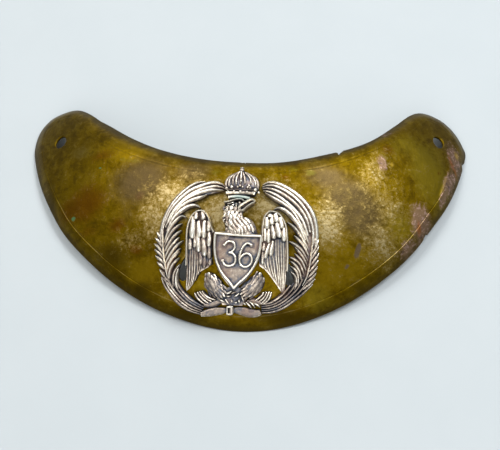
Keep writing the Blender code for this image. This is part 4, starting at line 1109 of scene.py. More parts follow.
def prism(place, radius, sides, top, foot):
    angles = np.arange(sides) * math.tau / sides
    slab([(place[0] + radius * math.cos(a), place[1] + radius * math.sin(a)) for a in angles], top, foot)


for corners in WING_EDGE.values():
    slab(corners, WING_TOP)
for post in POSTS:
    prism(post, POST_RADIUS, 16, POST_TOP, POST_END)
print("plates so far:", len(slabs.faces), "faces")

# %% [markdown]
# ## The shield and its number
#
# The shield is a flat field with a rounded rim. It carries a regiment's number in thin relief, here a plain
# 36, with small round ends to the strokes as a letter cutter makes them. The field is a little hollow.

# %% Shield, rim and figures
SHIELD_WIDTH, SHIELD_HEIGHT = 16.2, 19.4
SHIELD_TOP = (0.7, 2.2)
SHIELD_ROWS = ((0.00, 0.500), (0.27, 0.490), (0.54, 0.415), (0.78, 0.250), (1.00, 0.000))
THREE = (
    (0.08, 0.84), (0.34, 1.0), (0.72, 0.96), (0.84, 0.76), (0.66, 0.58), (0.42, 0.545), (0.72, 0.52),
    (0.96, 0.34), (0.9, 0.1), (0.55, 0.0), (0.2, 0.05), (0.04, 0.2),
)
SIX = (
    (0.84, 0.9), (0.58, 0.98), (0.26, 0.8), (0.06, 0.42), (0.18, 0.09), (0.55, 0.0), (0.9, 0.14), (0.94, 0.4),
    (0.62, 0.56), (0.26, 0.46), (0.08, 0.3),
)
FIGURE_WIDTH, FIGURE_HEIGHT, FIGURE_FOOT = 4.6, 8.2, -9.0
pearls = []


def shield_edge(inset, steps=20):
    right = []
    for k in range(steps + 1):
        down = 1 - k / steps
        half = max(SHIELD_WIDTH * read_table(SHIELD_ROWS, down) - inset, 0)
        sag = 0.25 * (1 - (half / (SHIELD_WIDTH / 2)) ** 2) if k == steps else 0
        right.append((half, SHIELD_TOP[1] - inset - sag - down * (SHIELD_HEIGHT - 2.6 * inset)))
    left = [(-x, y) for x, y in right[:0:-1]]
    return [(SHIELD_TOP[0] + x, y) for x, y in right + left]


def shield_rim_path(inset):
    """Three lines: each side down to the tip, and the top edge, which sags a little."""
    edge = shield_edge(inset)
    count = len(edge) // 2
    right, left = edge[: count + 1], [edge[0], *edge[:count:-1]]
    top = (left[-1], (SHIELD_TOP[0], left[-1][1] - 0.3), right[-1])
    return right, left, top


slab(shield_edge(0.0), 2.15, crown=-0.12)
right, left, top = shield_rim_path(0.5)
for path in (right, left):
    ridge(path[::2], 0.60, 3.2, 2.0, 2.6, EVEN, count=26, dimming=-0.05)
ridge(top, 0.60, 3.2, 2.0, 2.6, EVEN, count=18, dimming=-0.08)
for place, figure, ends in ((-2.35, THREE, (0, -1)), (3.05, SIX, (0,))):
    path = [(place + SHIELD_TOP[0] + (x - 0.5) * FIGURE_WIDTH, FIGURE_FOOT + y * FIGURE_HEIGHT) for x, y in figure]
    ridge(path, 0.42, 3.0, 2.4, 2.8, EVEN, foot=1.8, count=40, dimming=-0.12)
    pearls += [(*path[k], 2.45, 0.60) for k in ends]
print("figures:", 2, "with", len(pearls), "round ends")

# %% [markdown]
# ## Head and neck
#
# The eagle looks to the right with its beak open. The neck is a swelling form covered with shaggy feathers
# that lengthen down to the shield. The body is one wide ridge, and rows of small tufts follow it, each a
# little proud of the row below. The beak is two bars that meet at the hooked tip.

# %% The neck's form and its rows of feathers
NECK = ((1.3, 1.8), (1.0, 3.6), (-0.6, 5.5), (-1.5, 7.2), (-1.7, 9.0), (-1.5, 10.9), (-1.2, 12.3))
NECK_HALF = (
    (0.0, 6.0), (0.14, 5.4), (0.32, 4.1), (0.47, 3.4), (0.64, 3.2), (0.82, 3.3), (0.93, 3.1), (1.0, 2.3),
)
NECK_WIDEST = max(half for _, half in NECK_HALF)
NECK_SHAPE = tuple((place, half / NECK_WIDEST) for place, half in NECK_HALF)
NECK_CREST = 3.1
TUFTS_FROM = 0.15


def tuft_rows(axis, shape, half, crest, rows, spacing, length, spread, proud=0.32, dimming=0.0, upto=0.96):
    """Rows of tufts over a wide ridge, pointing back down its line. The first row is the lowest."""
    line = smooth_line(axis, 60)
    for row in range(rows):
        share = TUFTS_FROM + (upto - TUFTS_FROM) * row / (rows - 1)
        place = line[int(share * 59)]
        ahead = line[min(int(share * 59) + 1, 59)] - line[max(int(share * 59) - 1, 0)]
        ahead = ahead / np.linalg.norm(ahead)
        aside = np.array((ahead[1], -ahead[0]))
        reach = half * read_table(shape, share)
        count = max(2, int(2 * reach / spacing))
        for k in range(count):
            across = -0.92 + 1.84 * (k + 0.5 * (row % 2)) / count + 0.05 * (dice.random() - 0.5)
            root = place + aside * across * reach + ahead * 0.35 * length
            heading = -ahead + aside * across * spread
            size = length * (1.25 - 0.45 * share) * (0.85 + 0.3 * dice.random())
            tip = root + heading / np.linalg.norm(heading) * size
            bow = (root + tip) / 2 + aside * 0.12 * (dice.random() - 0.5)
            rise = crest * (0.38 + 0.62 * (1 - abs(across) ** 2.4))
            ridge((root, bow, tip), spacing * 0.62, rise + proud, rise - 0.1, 1.7, LEAF, 0.3, 0.25, 7, dimming)


ridge(NECK, NECK_WIDEST, NECK_CREST, 0.9, 2.4, NECK_SHAPE, count=24, dimming=0.04)
tuft_rows(NECK, NECK_SHAPE, 5.7, NECK_CREST, 7, 1.10, 2.2, 0.25, 0.30, -0.08, 0.80)
HEAD = (
    (((-4.8, 12.0), (-3.2, 12.4), (-1.6, 13.0), (-0.1, 13.3), (1.0, 13.2), (1.7, 12.7)), 0.36, 3.9, EVEN),
    (((-3.9, 11.4), (-2.6, 11.8), (-1.4, 12.2)), 0.34, 3.4, LEAF),
    (
        ((0.0, 10.2), (0.5, 11.2), (1.6, 12.1), (2.9, 13.0), (3.8, 13.5), (4.7, 13.5), (5.3, 12.9)), 0.56,
        3.6, EVEN,
    ),
    (
        ((0.0, 10.3), (0.6, 9.7), (1.6, 9.9), (2.4, 10.7), (3.4, 11.6), (4.4, 12.4), (5.2, 12.8)), 0.54, 3.3,
        EVEN,
    ),
    (((0.8, 10.6), (2.2, 11.6), (3.6, 12.5)), 0.26, 2.4, LEAF),
    (((-4.3, 10.2), (-3.6, 10.8), (-2.9, 11.1)), 0.36, 3.2, LEAF),
    (((-4.7, 8.6), (-4.4, 9.3), (-3.9, 9.8)), 0.36, 2.9, LEAF),
    (((-4.8, 6.9), (-4.6, 7.6), (-4.1, 8.1)), 0.36, 2.8, LEAF),
    (((-4.4, 5.4), (-4.5, 6.1), (-4.0, 6.7)), 0.36, 2.8, LEAF),
    (((-0.7, 10.6), (-0.8, 12.0)), 0.46, 3.6, LEAF),
    (((-3.3, 10.2), (-2.2, 11.0), (-1.3, 11.6)), 0.48, 3.5, LEAF),
    (((-2.4, 9.5), (-1.6, 10.2), (-1.2, 10.9)), 0.44, 3.5, LEAF),
    (((0.0, 11.2), (0.4, 11.7), (1.2, 12.2)), 0.36, 3.3, LEAF),
)
for path, half, crest, shape in HEAD:
    ridge(path, half, crest, crest - 1.1, 1.7, shape, count=16, dimming=-0.16)
pearls.append((0.3, 12.1, 3.40, 0.36))
print("head lines:", len(HEAD))

# %% [markdown]
# ## Legs, sprays and the tie
#
# Below the shield come feathered thighs, rough ground and claws, then two short sprays, and the stems'
# cut ends, held by a small square tie with a hole through it. They are small, so the same ridges and tufts
# serve, with plates to close what lies between.

# %% Thighs, claws, sprays, stem ends and tie
THIGHS = (
    ((-8.0, -11.8), (-7.0, -14.2), (-5.3, -16.6), (-2.9, -19.0)),
    ((9.1, -10.8), (8.2, -14.0), (6.5, -16.4), (4.1, -18.2)),
)
for thigh in THIGHS:
    ridge(thigh[::-1], 2.75, 3.15, 0.9, 2.4, PLUMP, count=24)
    tuft_rows(thigh[::-1], PLUMP, 2.5, 3.05, 7, 0.80, 2.4, 0.25, 0.12, 0.10)
GROUND = (
    (-3.4, -17.2), (-1.0, -16.2), (2.0, -16.0), (4.6, -17.0), (5.2, -19.5), (4.0, -22.2), (-2.6, -22.2),
    (-4.4, -19.6),
)
slab(GROUND, 1.8)
CLAWS = (
    ((-4.7, -20.0), (-3.0, -20.7), (-1.6, -21.5)), ((-0.2, -18.5), (0.9, -17.8), (1.8, -17.7)),
    ((1.0, -19.3), (2.1, -18.5), (2.9, -17.8)), ((3.3, -18.2), (3.9, -19.5), (4.5, -20.9)),
    ((1.4, -21.4), (2.3, -20.9)), ((5.0, -20.6), (6.3, -21.7), (7.2, -22.8)),
    ((6.2, -20.4), (7.4, -21.3), (8.3, -22.5)), ((7.5, -20.8), (9.0, -21.4), (10.0, -22.2)),
    ((-1.9, -20.0), (-0.9, -21.3), (-0.1, -22.0)), ((0.2, -20.1), (0.7, -21.4)),
    ((2.7, -19.9), (3.0, -21.4)), ((-1.8, -18.9), (-0.8, -19.2), (0.1, -18.9)),
    ((-2.2, -18.0), (-1.0, -18.1), (0.4, -17.2)), ((4.4, -21.0), (5.2, -21.8)),
)
for path in CLAWS:
    ridge(path, 0.66, 2.4 + 0.7 * dice.random(), 1.2, 1.8, PLUMP, count=9)
STEMS = (
    ((-8.8, -22.6), (-6.5, -22.4), (-4.5, -21.6), (-3.0, -21.0)), ((5.4, -20.6), (8.3, -20.7), (10.2, -21.0)),
)
for path in STEMS:
    ridge(path, 1.05, 1.9, 1.0, 2.2, BAR, dimming=0.08)
SPRAYS = (
    ((-8.3, -22.4), (-9.7, -21.5), (-11.2, -20.1), (-12.2, -18.4)),
    ((-7.4, -21.9), (-8.9, -20.9), (-10.3, -19.6), (-11.4, -18.0)),
    ((-6.4, -21.3), (-8.1, -20.4), (-9.6, -19.1), (-10.6, -17.8)),
    ((-5.1, -20.7), (-7.1, -20.1), (-8.6, -19.2), (-9.8, -17.8)),
    ((8.2, -20.2), (9.1, -19.3), (10.2, -18.1), (10.8, -16.9)),
    ((9.2, -20.6), (10.0, -19.8), (11.1, -18.5), (11.7, -16.7)),
    ((10.2, -20.9), (11.0, -20.1), (11.9, -18.6), (12.5, -16.6)),
    ((11.1, -20.9), (12.1, -19.9), (12.9, -18.4), (13.3, -16.6)),
)
for path in SPRAYS:
    ridge(path, 0.56, 2.3, 1.35, 1.9, FEATHER, slope=0.3, count=14)
STRAPS = (
    (((-9.6, -25.7), (-6.5, -25.0), (-4.5, -24.6), (-1.2, -24.1)), 1.00),
    (((1.5, -23.8), (4.4, -24.1), (6.9, -24.5), (9.0, -24.4), (10.3, -23.9)), 1.12),
)
for path, half in STRAPS:
    ridge(path, half, 2.15, 1.7, 4.0, BAR, count=16, dimming=0.12)
TIE = (((-0.95, -22.7), (-0.75, -25.5), 0.34), ((0.45, -22.6), (0.65, -25.2), 0.76))
TIE += (((-1.0, -22.9), (0.9, -22.7), 0.42), ((-0.8, -25.3), (1.0, -25.1), 0.42))
for low_end, high_end, half in TIE:
    ridge((low_end, high_end), half, 2.7, 1.8, 3.0, BAR, count=6)
print("claws:", len(CLAWS), "lines so far:", len(lines["points"]))

# %% [markdown]
# ## The crown
#
# A small closed crown stands over the head: a band with a row of pearls, ribbed arches that swell and meet
# at the top, and an orb there. The arches are ridges over one round form. Pearls are instances of one
# small ball on points, which is how a pattern maker would punch them.

# %% Band, arches and orb
CROWN = ((0.6, 15.0), (0.55, 17.0), (0.5, 19.1), (0.4, 21.2), (0.2, 22.7), (0.1, 23.5))
CROWN_HALF = ((0.0, 4.4), (0.25, 5.6), (0.50, 5.75), (0.74, 4.5), (0.90, 2.2), (1.0, 0.7))
CROWN_WIDEST = max(half for _, half in CROWN_HALF)
CROWN_SHAPE = tuple((place, half / CROWN_WIDEST) for place, half in CROWN_HALF)
ridge(CROWN, CROWN_WIDEST, 2.4, 0.9, 2.2, CROWN_SHAPE, count=24, dimming=-0.02)
ARCHES = (
    ((-4.7, 17.2), (-4.9, 19.0), (-4.0, 20.9), (-1.6, 22.6)), ((-3.7, 17.4), (-3.9, 19.2), (-3.3, 21.0), (-1.2, 22.7)),
    ((-2.4, 18.0), (-2.6, 19.7), (-2.2, 21.3), (-0.8, 22.8)), ((-1.4, 18.2), (-1.5, 20.1), (-1.1, 21.8), (-0.4, 22.9)),
    ((0.1, 18.6), (0.0, 20.9), (0.0, 23.0)), ((1.5, 18.5), (1.3, 20.3), (0.6, 22.6)),
    ((3.5, 18.7), (3.1, 20.7), (1.2, 22.7)), ((5.0, 18.1), (4.8, 20.0), (3.5, 21.6), (1.6, 22.8)),
    ((6.0, 17.5), (5.8, 19.5), (4.8, 21.2), (2.4, 22.6)),
)
for path in ARCHES:
    height = 1.1 + 1.5 * (1 - min(abs(path[0][0] - 0.5) / 5.8, 1) ** 2.2)
    ridge(path, 0.46, height + 0.30, height - 0.4, 1.6, BAR, count=16, dimming=0.0)
BANDS = (
    (((-4.5, 15.4), (-1.9, 15.6), (0.2, 15.7), (2.6, 15.8), (5.1, 15.8)), 0.62, 2.9, -0.05),
    (((-4.7, 16.5), (-1.9, 16.6), (0.2, 16.7), (2.6, 16.8), (5.3, 16.9)), 0.26, 2.7, 0.02),
    (((-3.7, 14.0), (-1.8, 14.3), (0.0, 14.4), (1.8, 14.3), (3.5, 14.0)), 0.66, 2.6, -0.10),
)
for path, half, crest, dimming in BANDS:
    ridge(path, half, crest, crest - 0.8, 2.4, EVEN, count=16, dimming=dimming)
pearls += [(-2.8, 17.4, 2.5, 0.58), (-0.8, 17.5, 2.7, 0.42), (0.0, 17.9, 2.7, 0.48), (0.8, 17.6, 2.7, 0.42)]
pearls += [(2.5, 17.6, 2.6, 0.48), (3.3, 17.5, 2.5, 0.48), (2.9, 18.2, 2.6, 0.44), (5.1, 17.0, 2.1, 0.64)]
pearls += [(-4.6, 17.0, 1.9, 0.55), (6.3, 16.4, 1.5, 0.46), (0.0, 20.5, 2.9, 0.34), (0.1, 19.5, 3.0, 0.34)]
pearls += [(-3.9, 15.7, 3.1, 0.30), (-1.9, 15.8, 3.1, 0.36), (0.2, 15.9, 3.1, 0.42), (2.4, 15.9, 3.1, 0.38)]
pearls += [(4.4, 15.9, 3.0, 0.30)]
pearls += [(0.1, 23.5, 1.6, 0.80), (0.1, 24.4, 1.3, 0.42)]
ridge(((-0.5, 24.5), (0.7, 24.5)), 0.22, 1.7, 0.8, 2.0, EVEN, count=4)
print("pearls:", len(pearls))


# %% The tree that sets pearls on points
def pearl_tree():
    tree, entry, size = new_tree("pearls on points", ["Pearl radius"])
    ball = add_node(tree, "GeometryNodeMeshIcoSphere", {"Radius": size["Pearl radius"], "Subdivisions": 3})
    set_out = add_node(
        tree,
        "GeometryNodeInstanceOnPoints",
        {"Points": entry.outputs["Geometry"], "Instance": ball.outputs[0], "Scale": stored_number(tree, "radius")},
    )
    end_tree(tree, entry, set_out.outputs[0])
    return tree


dots = bpy.data.meshes.new("dots")
dots.from_pydata([(x * MM, y * MM, z * MM) for x, y, z, _ in pearls], [], [])
set_attribute(dots, "radius", [radius for *_, radius in pearls])
pearl_mesh = grow("pearls", dots, pearl_tree(), silver, {"Pearl radius": MM})

# %% [markdown]
# ## One casting, laid on the plate
#
# The ridges, plates and pearls are one piece of metal. They are gathered in one flat mesh. The flat badge
# is turned a little, as the real one sits, and goes through the same bending tree as the plate did.

# %% Gather the casting
line_mesh = bpy.data.meshes.new("lines")
line_mesh.from_pydata(lines["points"], lines["edges"], [])
for name in (*RIDGE_NUMBERS, "tone"):
    set_attribute(line_mesh, name, lines[name])
ridge_mesh = grow("ridges", line_mesh, ridges_along_lines, silver, {"Undercut": 0.25})
slab_mesh = bpy.data.meshes.new("plates")
slabs.to_mesh(slab_mesh)
slabs.free()


def outward(mesh):
    """Turns every face of closed shells outwards."""
    bm = bmesh.new()
    bm.from_mesh(mesh)
    bmesh.ops.recalc_face_normals(bm, faces=bm.faces)
    bm.to_mesh(mesh)
    bm.free()


casting = bmesh.new()
for mesh in (ridge_mesh, slab_mesh, pearl_mesh):
    outward(mesh)
    casting.from_mesh(mesh)
badge_flat = bpy.data.meshes.new("badge_flat")
casting.to_mesh(badge_flat)
casting.free()
for mesh in (ridge_mesh, slab_mesh, pearl_mesh):
    bpy.data.meshes.remove(mesh)
print("casting:", len(badge_flat.polygons), "faces")

# %% [markdown]
# ## Where the silvering is worn
#
# Rubbing brightens what stands proud, and dirt and black sulphide stay in the hollows. The finish needs to
# know which is which. The highest metal over each small square of the badge is found, that map is blurred,
# and each point is compared with it: above its surroundings is a crest, below them a hollow.

# %% Crests and hollows as one number
CELL = 0.22 * MM
heights = points_of(badge_flat)
low = heights[:, :2].min(0) - 3 * MM
cells = np.ceil((heights[:, :2].max(0) + 3 * MM - low) / CELL).astype(int)
relief = np.zeros(cells)
corners = np.empty(len(badge_flat.loops), np.int32)
badge_flat.loops.foreach_get("vertex_index", corners)
centres = np.array([polygon.center for polygon in badge_flat.polygons])
for cloud in (heights, centres):
    cell = ((cloud[:, :2] - low) / CELL).astype(int)
    np.maximum.at(relief, (cell[:, 0], cell[:, 1]), cloud[:, 2])


def shifted(field, x, y):
    return np.roll(np.roll(field, x, 0), y, 1)


closed = relief.copy()
for x in (-1, 0, 1):
    for y in (-1, 0, 1):
        closed = np.maximum(closed, np.where(relief <= 0, shifted(relief, x, y), 0))
blurred = closed
for _ in range(6):
    blurred = sum(shifted(blurred, x, y) for x in (-1, 0, 1) for y in (-1, 0, 1)) / 9
cell = ((heights[:, :2] - low) / CELL).astype(int)
wear = 0.5 + (heights[:, 2] - blurred[cell[:, 0], cell[:, 1]]) / (1.5 * MM)
set_attribute(badge_flat, "wear", np.clip(wear, 0, 1))
set_attribute(badge_flat, "flat_x", heights[:, 0])
set_attribute(badge_flat, "flat_y", heights[:, 1])
print("mean wear:", round(float(np.clip(wear, 0, 1).mean()), 2))

# %% Lay the casting on the plate
plan_x, plan_y = badge_to_plan(heights[:, 0], heights[:, 1])
placed = np.stack((plan_x, plan_y, heights[:, 2] + BADGE_GAP), axis=1)
badge_flat.vertices.foreach_set("co", placed.astype(np.float32).ravel())
badge_mesh = grow("eagle_badge", badge_flat, chest_bend, silver, {**BEND, "Dent depth": 0.0, "Dent size": 1.0})
badge_mesh.shade_smooth()
badge_mesh.set_sharp_from_angle(angle=math.radians(50))
badge = link("eagle_badge", badge_mesh)
top = points_of(badge_mesh).max(0)
print("badge reaches, mm:", (top / MM).round(1))

# %% [markdown]
# ## Stains, each in its place
#
# The plate's colour is mostly its history: olive and amber lacquered brass, purple-grey films where it was
# handled, golden speckle where the film has worn through, red-brown bruises, and pink copper where the
# gilding is gone from the right edge. Some of it is painted light: the speckle is strengthened beside the
# badge against its shade and into a sheen at its right, and one long lime streak is a painted highlight.
# An even noise would lose that. A table places each stain as a soft mound, stored on the plate's points, and
# the finish roughens its edge with noise.

# %% Table of stains
Stain = namedtuple("Stain", "x y half_x half_y turn strength")
STAINS = {
    "amber": (
        (-44.5, 17.1, 10.6, 4.7, -20, 1.0), (-57.6, 29.2, 6.2, 4.7, 0, 0.6), (-36.5, -25.6, 6.2, 4.2, 0, 0.9),
        (29.5, -20.0, 6.2, 3.6, 0, 0.9), (-66.0, 18.0, 6.0, 7.0, 0, 0.5), (28.0, -27.0, 9.0, 5.0, 20, 0.8),
        (38.0, -24.0, 12.0, 7.0, 35, 0.7), (-24.0, -28.0, 9.0, 5.0, -30, 0.6),
        (-2.0, -36.0, 14.0, 3.0, 0, 0.6),
    ),
    "olive": (
        (64.0, 14.0, 8.0, 14.0, 10, 0.9), (52.0, -10.0, 9.0, 9.0, 30, 0.7), (56.0, 22.0, 9.0, 5.0, 30, 0.7),
        (-13.2, -33.2, 6.9, 5.0, 0, 0.8), (22.5, -34.3, 6.9, 5.0, 0, 0.8),
    ),
    "rust": (
        (-57.6, 0.2, 7.7, 6.8, 0, 0.9), (-63.6, -0.4, 4.8, 4.7, 0, 0.8), (-52.3, 16.6, 5.3, 2.6, 0, 0.7),
        (-46.1, -9.8, 3.8, 2.6, 0, 0.8), (-39.4, -18.7, 2.9, 1.6, -30, 0.9), (-38.2, -1.5, 1.9, 1.6, 0, 0.9),
        (-56.4, -9.3, 5.8, 3.1, 0, 0.6), (12.1, 1.7, 1.8, 1.2, 0, 0.8), (48.7, 18.2, 2.9, 2.7, 0, 0.7),
        (67.9, 14.9, 0.7, 0.7, 0, 1.0),
    ),
    "dark": (
        (-48.4, -18.7, 7.2, 3.7, -30, 0.8), (-37.4, -31.0, 3.8, 3.1, 0, 0.8), (-71.4, 2.1, 2.9, 13.1, 0, 0.8),
        (9.4, -40.4, 13.7, 2.5, 0, 0.8), (-21.1, -39.5, 9.1, 3.0, 0, 0.8), (38.3, -30.0, 4.1, 2.7, 0, 0.7),
    ),
    "dusk": (
        (-37.8, 3.5, 10.6, 8.4, 0, 1.0), (-42.4, -5.7, 4.8, 6.3, 0, 0.5), (-20.0, 4.1, 8.2, 4.5, 0, 0.8),
        (36.4, -5.5, 12.0, 9.0, -35, 1.1), (37.6, -10.5, 5.8, 4.0, -35, 1.0), (27.0, 3.0, 9.0, 5.0, 0, 0.9),
    ),
    "pale": ((-61.1, 20.6, 3.8, 4.2, 0, 0.7),),
    "lime": (
        (-11.6, 3.4, 2.3, 1.5, 0, 0.8), (15.2, 5.1, 2.7, 1.5, 0, 0.8), (21.4, 3.8, 2.7, 1.5, 0, 0.8),
        # The long thin row at (-43.0, 12.5) is a painted highlight on the upper plate; the other rows are lime spots.
        (66.5, -3.4, 1.6, 0.9, 0, 0.8), (-43.0, 12.5, 9.0, 0.9, -22, 0.6),
    ),
    "gold": (
        (-32.9, -9.6, 4.3, 7.8, 0, 1.0), (-29.7, -1.6, 2.9, 4.2, 0, 1.0), (-40.3, -15.2, 4.8, 3.1, 0, 0.7),
        # The rows of 1.1 here and of 1.25 below are partly painted light: they lift the speckle where the badge shades
        # the plate, and paint a sheen at (26.7, -13.0).
        (-22.4, -5.0, 9.0, 6.5, 0, 1.1), (-10.4, -10.2, 7.0, 8.0, 0, 1.1), (6.7, -9.1, 8.5, 8.0, 0, 1.1),
        (26.7, -13.0, 4.6, 6.4, 0, 1.25), (45.7, -15.6, 6.6, 6.7, 0, 0.8), (48.0, -3.9, 6.2, 5.4, 0, 0.7),
        (44.0, 8.0, 5.0, 7.0, -30, 0.6), (-21.0, -22.0, 1.8, 4.0, 0, 0.8),
    ),
    "pink": (
        (46.6, 11.8, 1.6, 2.7, 20, 1.0), (74.6, 23.4, 2.5, 6.7, 15, 1.0), (72.1, 12.9, 2.1, 5.4, -15, 1.0),
        (60.3, -5.9, 3.7, 6.3, 0, 1.0), (56.3, -16.3, 3.7, 4.9, -30, 1.0), (48.5, 25.8, 2.5, 1.3, 30, 0.8),
        (69.0, 5.7, 1.2, 3.2, -20, 1.0),
    ),
    "ember": ((59.4, -7.7, 0.8, 2.7, 0, 1.0), (73.8, 19.5, 0.8, 5.0, 20, 0.9)),
    "bright": ((50.0, 12.5, 0.8, 0.9, 0, 1.0), (75.4, 25.2, 1.0, 1.8, 20, 1.0)),
    "mark": ((37.1, -19.3, 0.9, 2.7, -20, 1.0), (33.0, -24.5, 1.3, 0.7, 25, 1.0)),
    "green": ((-62.3, -3.7, 0.7, 0.9, 0, 1.0), (-53.0, 12.0, 0.5, 0.4, 0, 0.9)),
}


HALF_AT_EDGE = 0.69


def mounds(kind, points):
    """The height of this kind's mounds at each point: 1 in a stain's middle, 0.5 at its edge."""
    field = np.zeros(len(points))
    for stain in (Stain(*row) for row in STAINS[kind]):
        off = points[:, :2] / MM - (stain.x, stain.y)
        c, s = math.cos(math.radians(stain.turn)), math.sin(math.radians(stain.turn))
        along = (off[:, 0] * c + off[:, 1] * s) / stain.half_x
        across = (off[:, 1] * c - off[:, 0] * s) / stain.half_y
        field = np.maximum(field, stain.strength * np.exp(-HALF_AT_EDGE * (along**2 + across**2)))
    return field


plate_points = points_of(plate.data)
normals = np.empty(len(plate_points) * 3, np.float32)
plate.data.vertex_normals.foreach_get("vector", normals)
front = np.clip(0.5 + normals.reshape(-1, 3)[:, 2] / 0.4, 0, 1)
set_attribute(plate.data, "front", front)
for kind in sorted(STAINS):
    set_attribute(plate.data, kind, mounds(kind, plate_points) * front)
print("stains:", sum(len(rows) for rows in STAINS.values()))

# %% [markdown]
# ## Finishes as coats
#
# A finish is laid on in coats: a mask says where a coat shows, and each coat has a colour, a roughness and
# a share of bare metal. Every mask is arithmetic on noise and on what the points carry.


# %% Laying coats
class Finish:
    def __init__(self, material, colour, roughness, metal):
        material.use_nodes = True
        self.tree = material.node_tree
        self.shader = self.tree.nodes["Principled BSDF"]
        self.colour = (*colour, 1)
        self.roughness = roughness
        self.metal = metal
        self.place = self.tree.nodes.new("ShaderNodeTexCoord").outputs["Object"]

    def noise(self, scale, detail=4.0, rough=0.55, twist=0.0):
        """Smooth noise between 0 and 1, with features about 1/scale metres wide."""
        sizes = {"Vector": self.place, "Scale": scale, "Detail": detail, "Roughness": rough, "Distortion": twist}
        return Wire(self.tree, add_node(self.tree, "ShaderNodeTexNoise", sizes).outputs[0])

    def stored(self, name):
        return Wire(self.tree, add_node(self.tree, "ShaderNodeAttribute", attribute_name=name).outputs["Fac"])

    def step(self, wire, low, high):
        """Rises smoothly from 0 to 1 as the wire goes from low to high."""
        sizes = {"Value": wire, "From Min": low, "From Max": high}
        node = add_node(self.tree, "ShaderNodeMapRange", sizes, interpolation_type="SMOOTHSTEP")
        return Wire(self.tree, node.outputs[0])

    def mixed(self, mask, old, new):
        """Numbers or colours blended by a mask."""
        if isinstance(old, float) and isinstance(new, float) or isinstance(old, Wire) and isinstance(new, float):
            node = add_node(self.tree, "ShaderNodeMix", {0: mask, 2: old, 3: new}, data_type="FLOAT")
            return Wire(self.tree, node.outputs[0])
        node = add_node(self.tree, "ShaderNodeMix", {0: mask, 6: old, 7: new}, data_type="RGBA")
        return node.outputs[2]

    def coat(self, mask, colour=None, roughness=None, metal=None):
        if colour is not None:
            self.colour = self.mixed(mask, self.colour, (*colour, 1))
        if roughness is not None:
            self.roughness = self.mixed(mask, self.roughness, roughness)
        if metal is not None:
            self.metal = self.mixed(mask, self.metal, metal)

    def bumped(self, *layers):
        """Roughens the surface. Each layer is a height wire and how deep it is, in metres."""
        normal = None
        for height, depth in layers:
            sizes = {"Height": height, "Distance": depth, "Strength": 1.0}
            if normal is not None:
                sizes["Normal"] = normal
            normal = add_node(self.tree, "ShaderNodeBump", sizes).outputs[0]
        self.tree.links.new(normal, self.shader.inputs["Normal"])

    def done(self):
        feed(self.tree, self.shader.inputs["Base Color"], self.colour)
        feed(self.tree, self.shader.inputs["Roughness"], self.roughness)
        feed(self.tree, self.shader.inputs["Metallic"], self.metal)
        print(self.shader.id_data.name, "nodes:", len(self.tree.nodes))


# %% [markdown]
# ## Tarnished gilt brass
#
# First the ground: olive and amber in broad clouds. Then films, bruises, speckle, partly raised into painted light,
# bare copper, the marks, the painted shade on the turned-down edge and the bright scratch of the engraved line.
# Speckle is sharp noise inside a soft stain.

# %% The plate's finish
coats = Finish(gilt, (0.100, 0.060, 0.0010), 0.46, 1.0)
clouds = coats.noise(38.0, 3.0, 0.5, 0.4)
mottle = coats.noise(170.0, 5.0, 0.62, 0.3)
blotch = coats.noise(420.0, 4.0, 0.60, 0.5)
specks = coats.noise(900.0, 3.0, 0.65)
dust = coats.noise(1900.0, 2.0, 0.6)
ragged = mottle * 0.45 + blotch * 0.30 + specks * 0.25 - 0.5
coats.coat(coats.step(clouds, 0.42, 0.62) * 0.8, (0.150, 0.092, 0.0012), 0.42)
coats.coat(coats.step(mottle, 0.50, 0.70) * 0.60, (0.195, 0.128, 0.007))
coats.coat(coats.step(mottle, 0.48, 0.30) * 0.60, (0.050, 0.029, 0.0015), 0.52)
coats.coat(coats.step(blotch, 0.52, 0.68) * 0.40, (0.200, 0.128, 0.006))
coats.coat(coats.step(blotch, 0.47, 0.33) * 0.45, (0.045, 0.026, 0.0015), 0.54)
coats.coat(coats.step(specks * 0.7 + dust * 0.3, 0.44, 0.30) * 0.40, (0.036, 0.022, 0.002), 0.55)


def stain(kind, colour, roughness, amount=1.0, low=0.38, high=0.62, edge=1.1, metal=None):
    field = coats.stored(kind) + ragged * edge * (coats.stored(kind) * 4.0).math("MINIMUM", 1.0)
    coats.coat(coats.step(field, low, high) * amount, colour, roughness, metal)


stain("olive", (0.200, 0.145, 0.009), 0.42, 0.75, 0.28, 0.85, 1.4)
stain("amber", (0.220, 0.138, 0.004), 0.40, 0.65, 0.28, 0.80, 1.4)
stain("rust", (0.098, 0.034, 0.0015), 0.44, 0.75, 0.30, 0.85, 1.4)
stain("dark", (0.034, 0.021, 0.002), 0.55, 0.70, 0.30, 0.85, 1.4)
stain("dusk", (0.066, 0.046, 0.023), 0.40, 0.75, 0.22, 0.90, 1.2)
stain("pale", (0.150, 0.120, 0.040), 0.45, 0.40, 0.34, 0.85, 1.8)
# Lime spots, and one streak of painted highlight.
stain("lime", (0.120, 0.112, 0.010), 0.48, 0.40, 0.36, 0.85, 2.0)
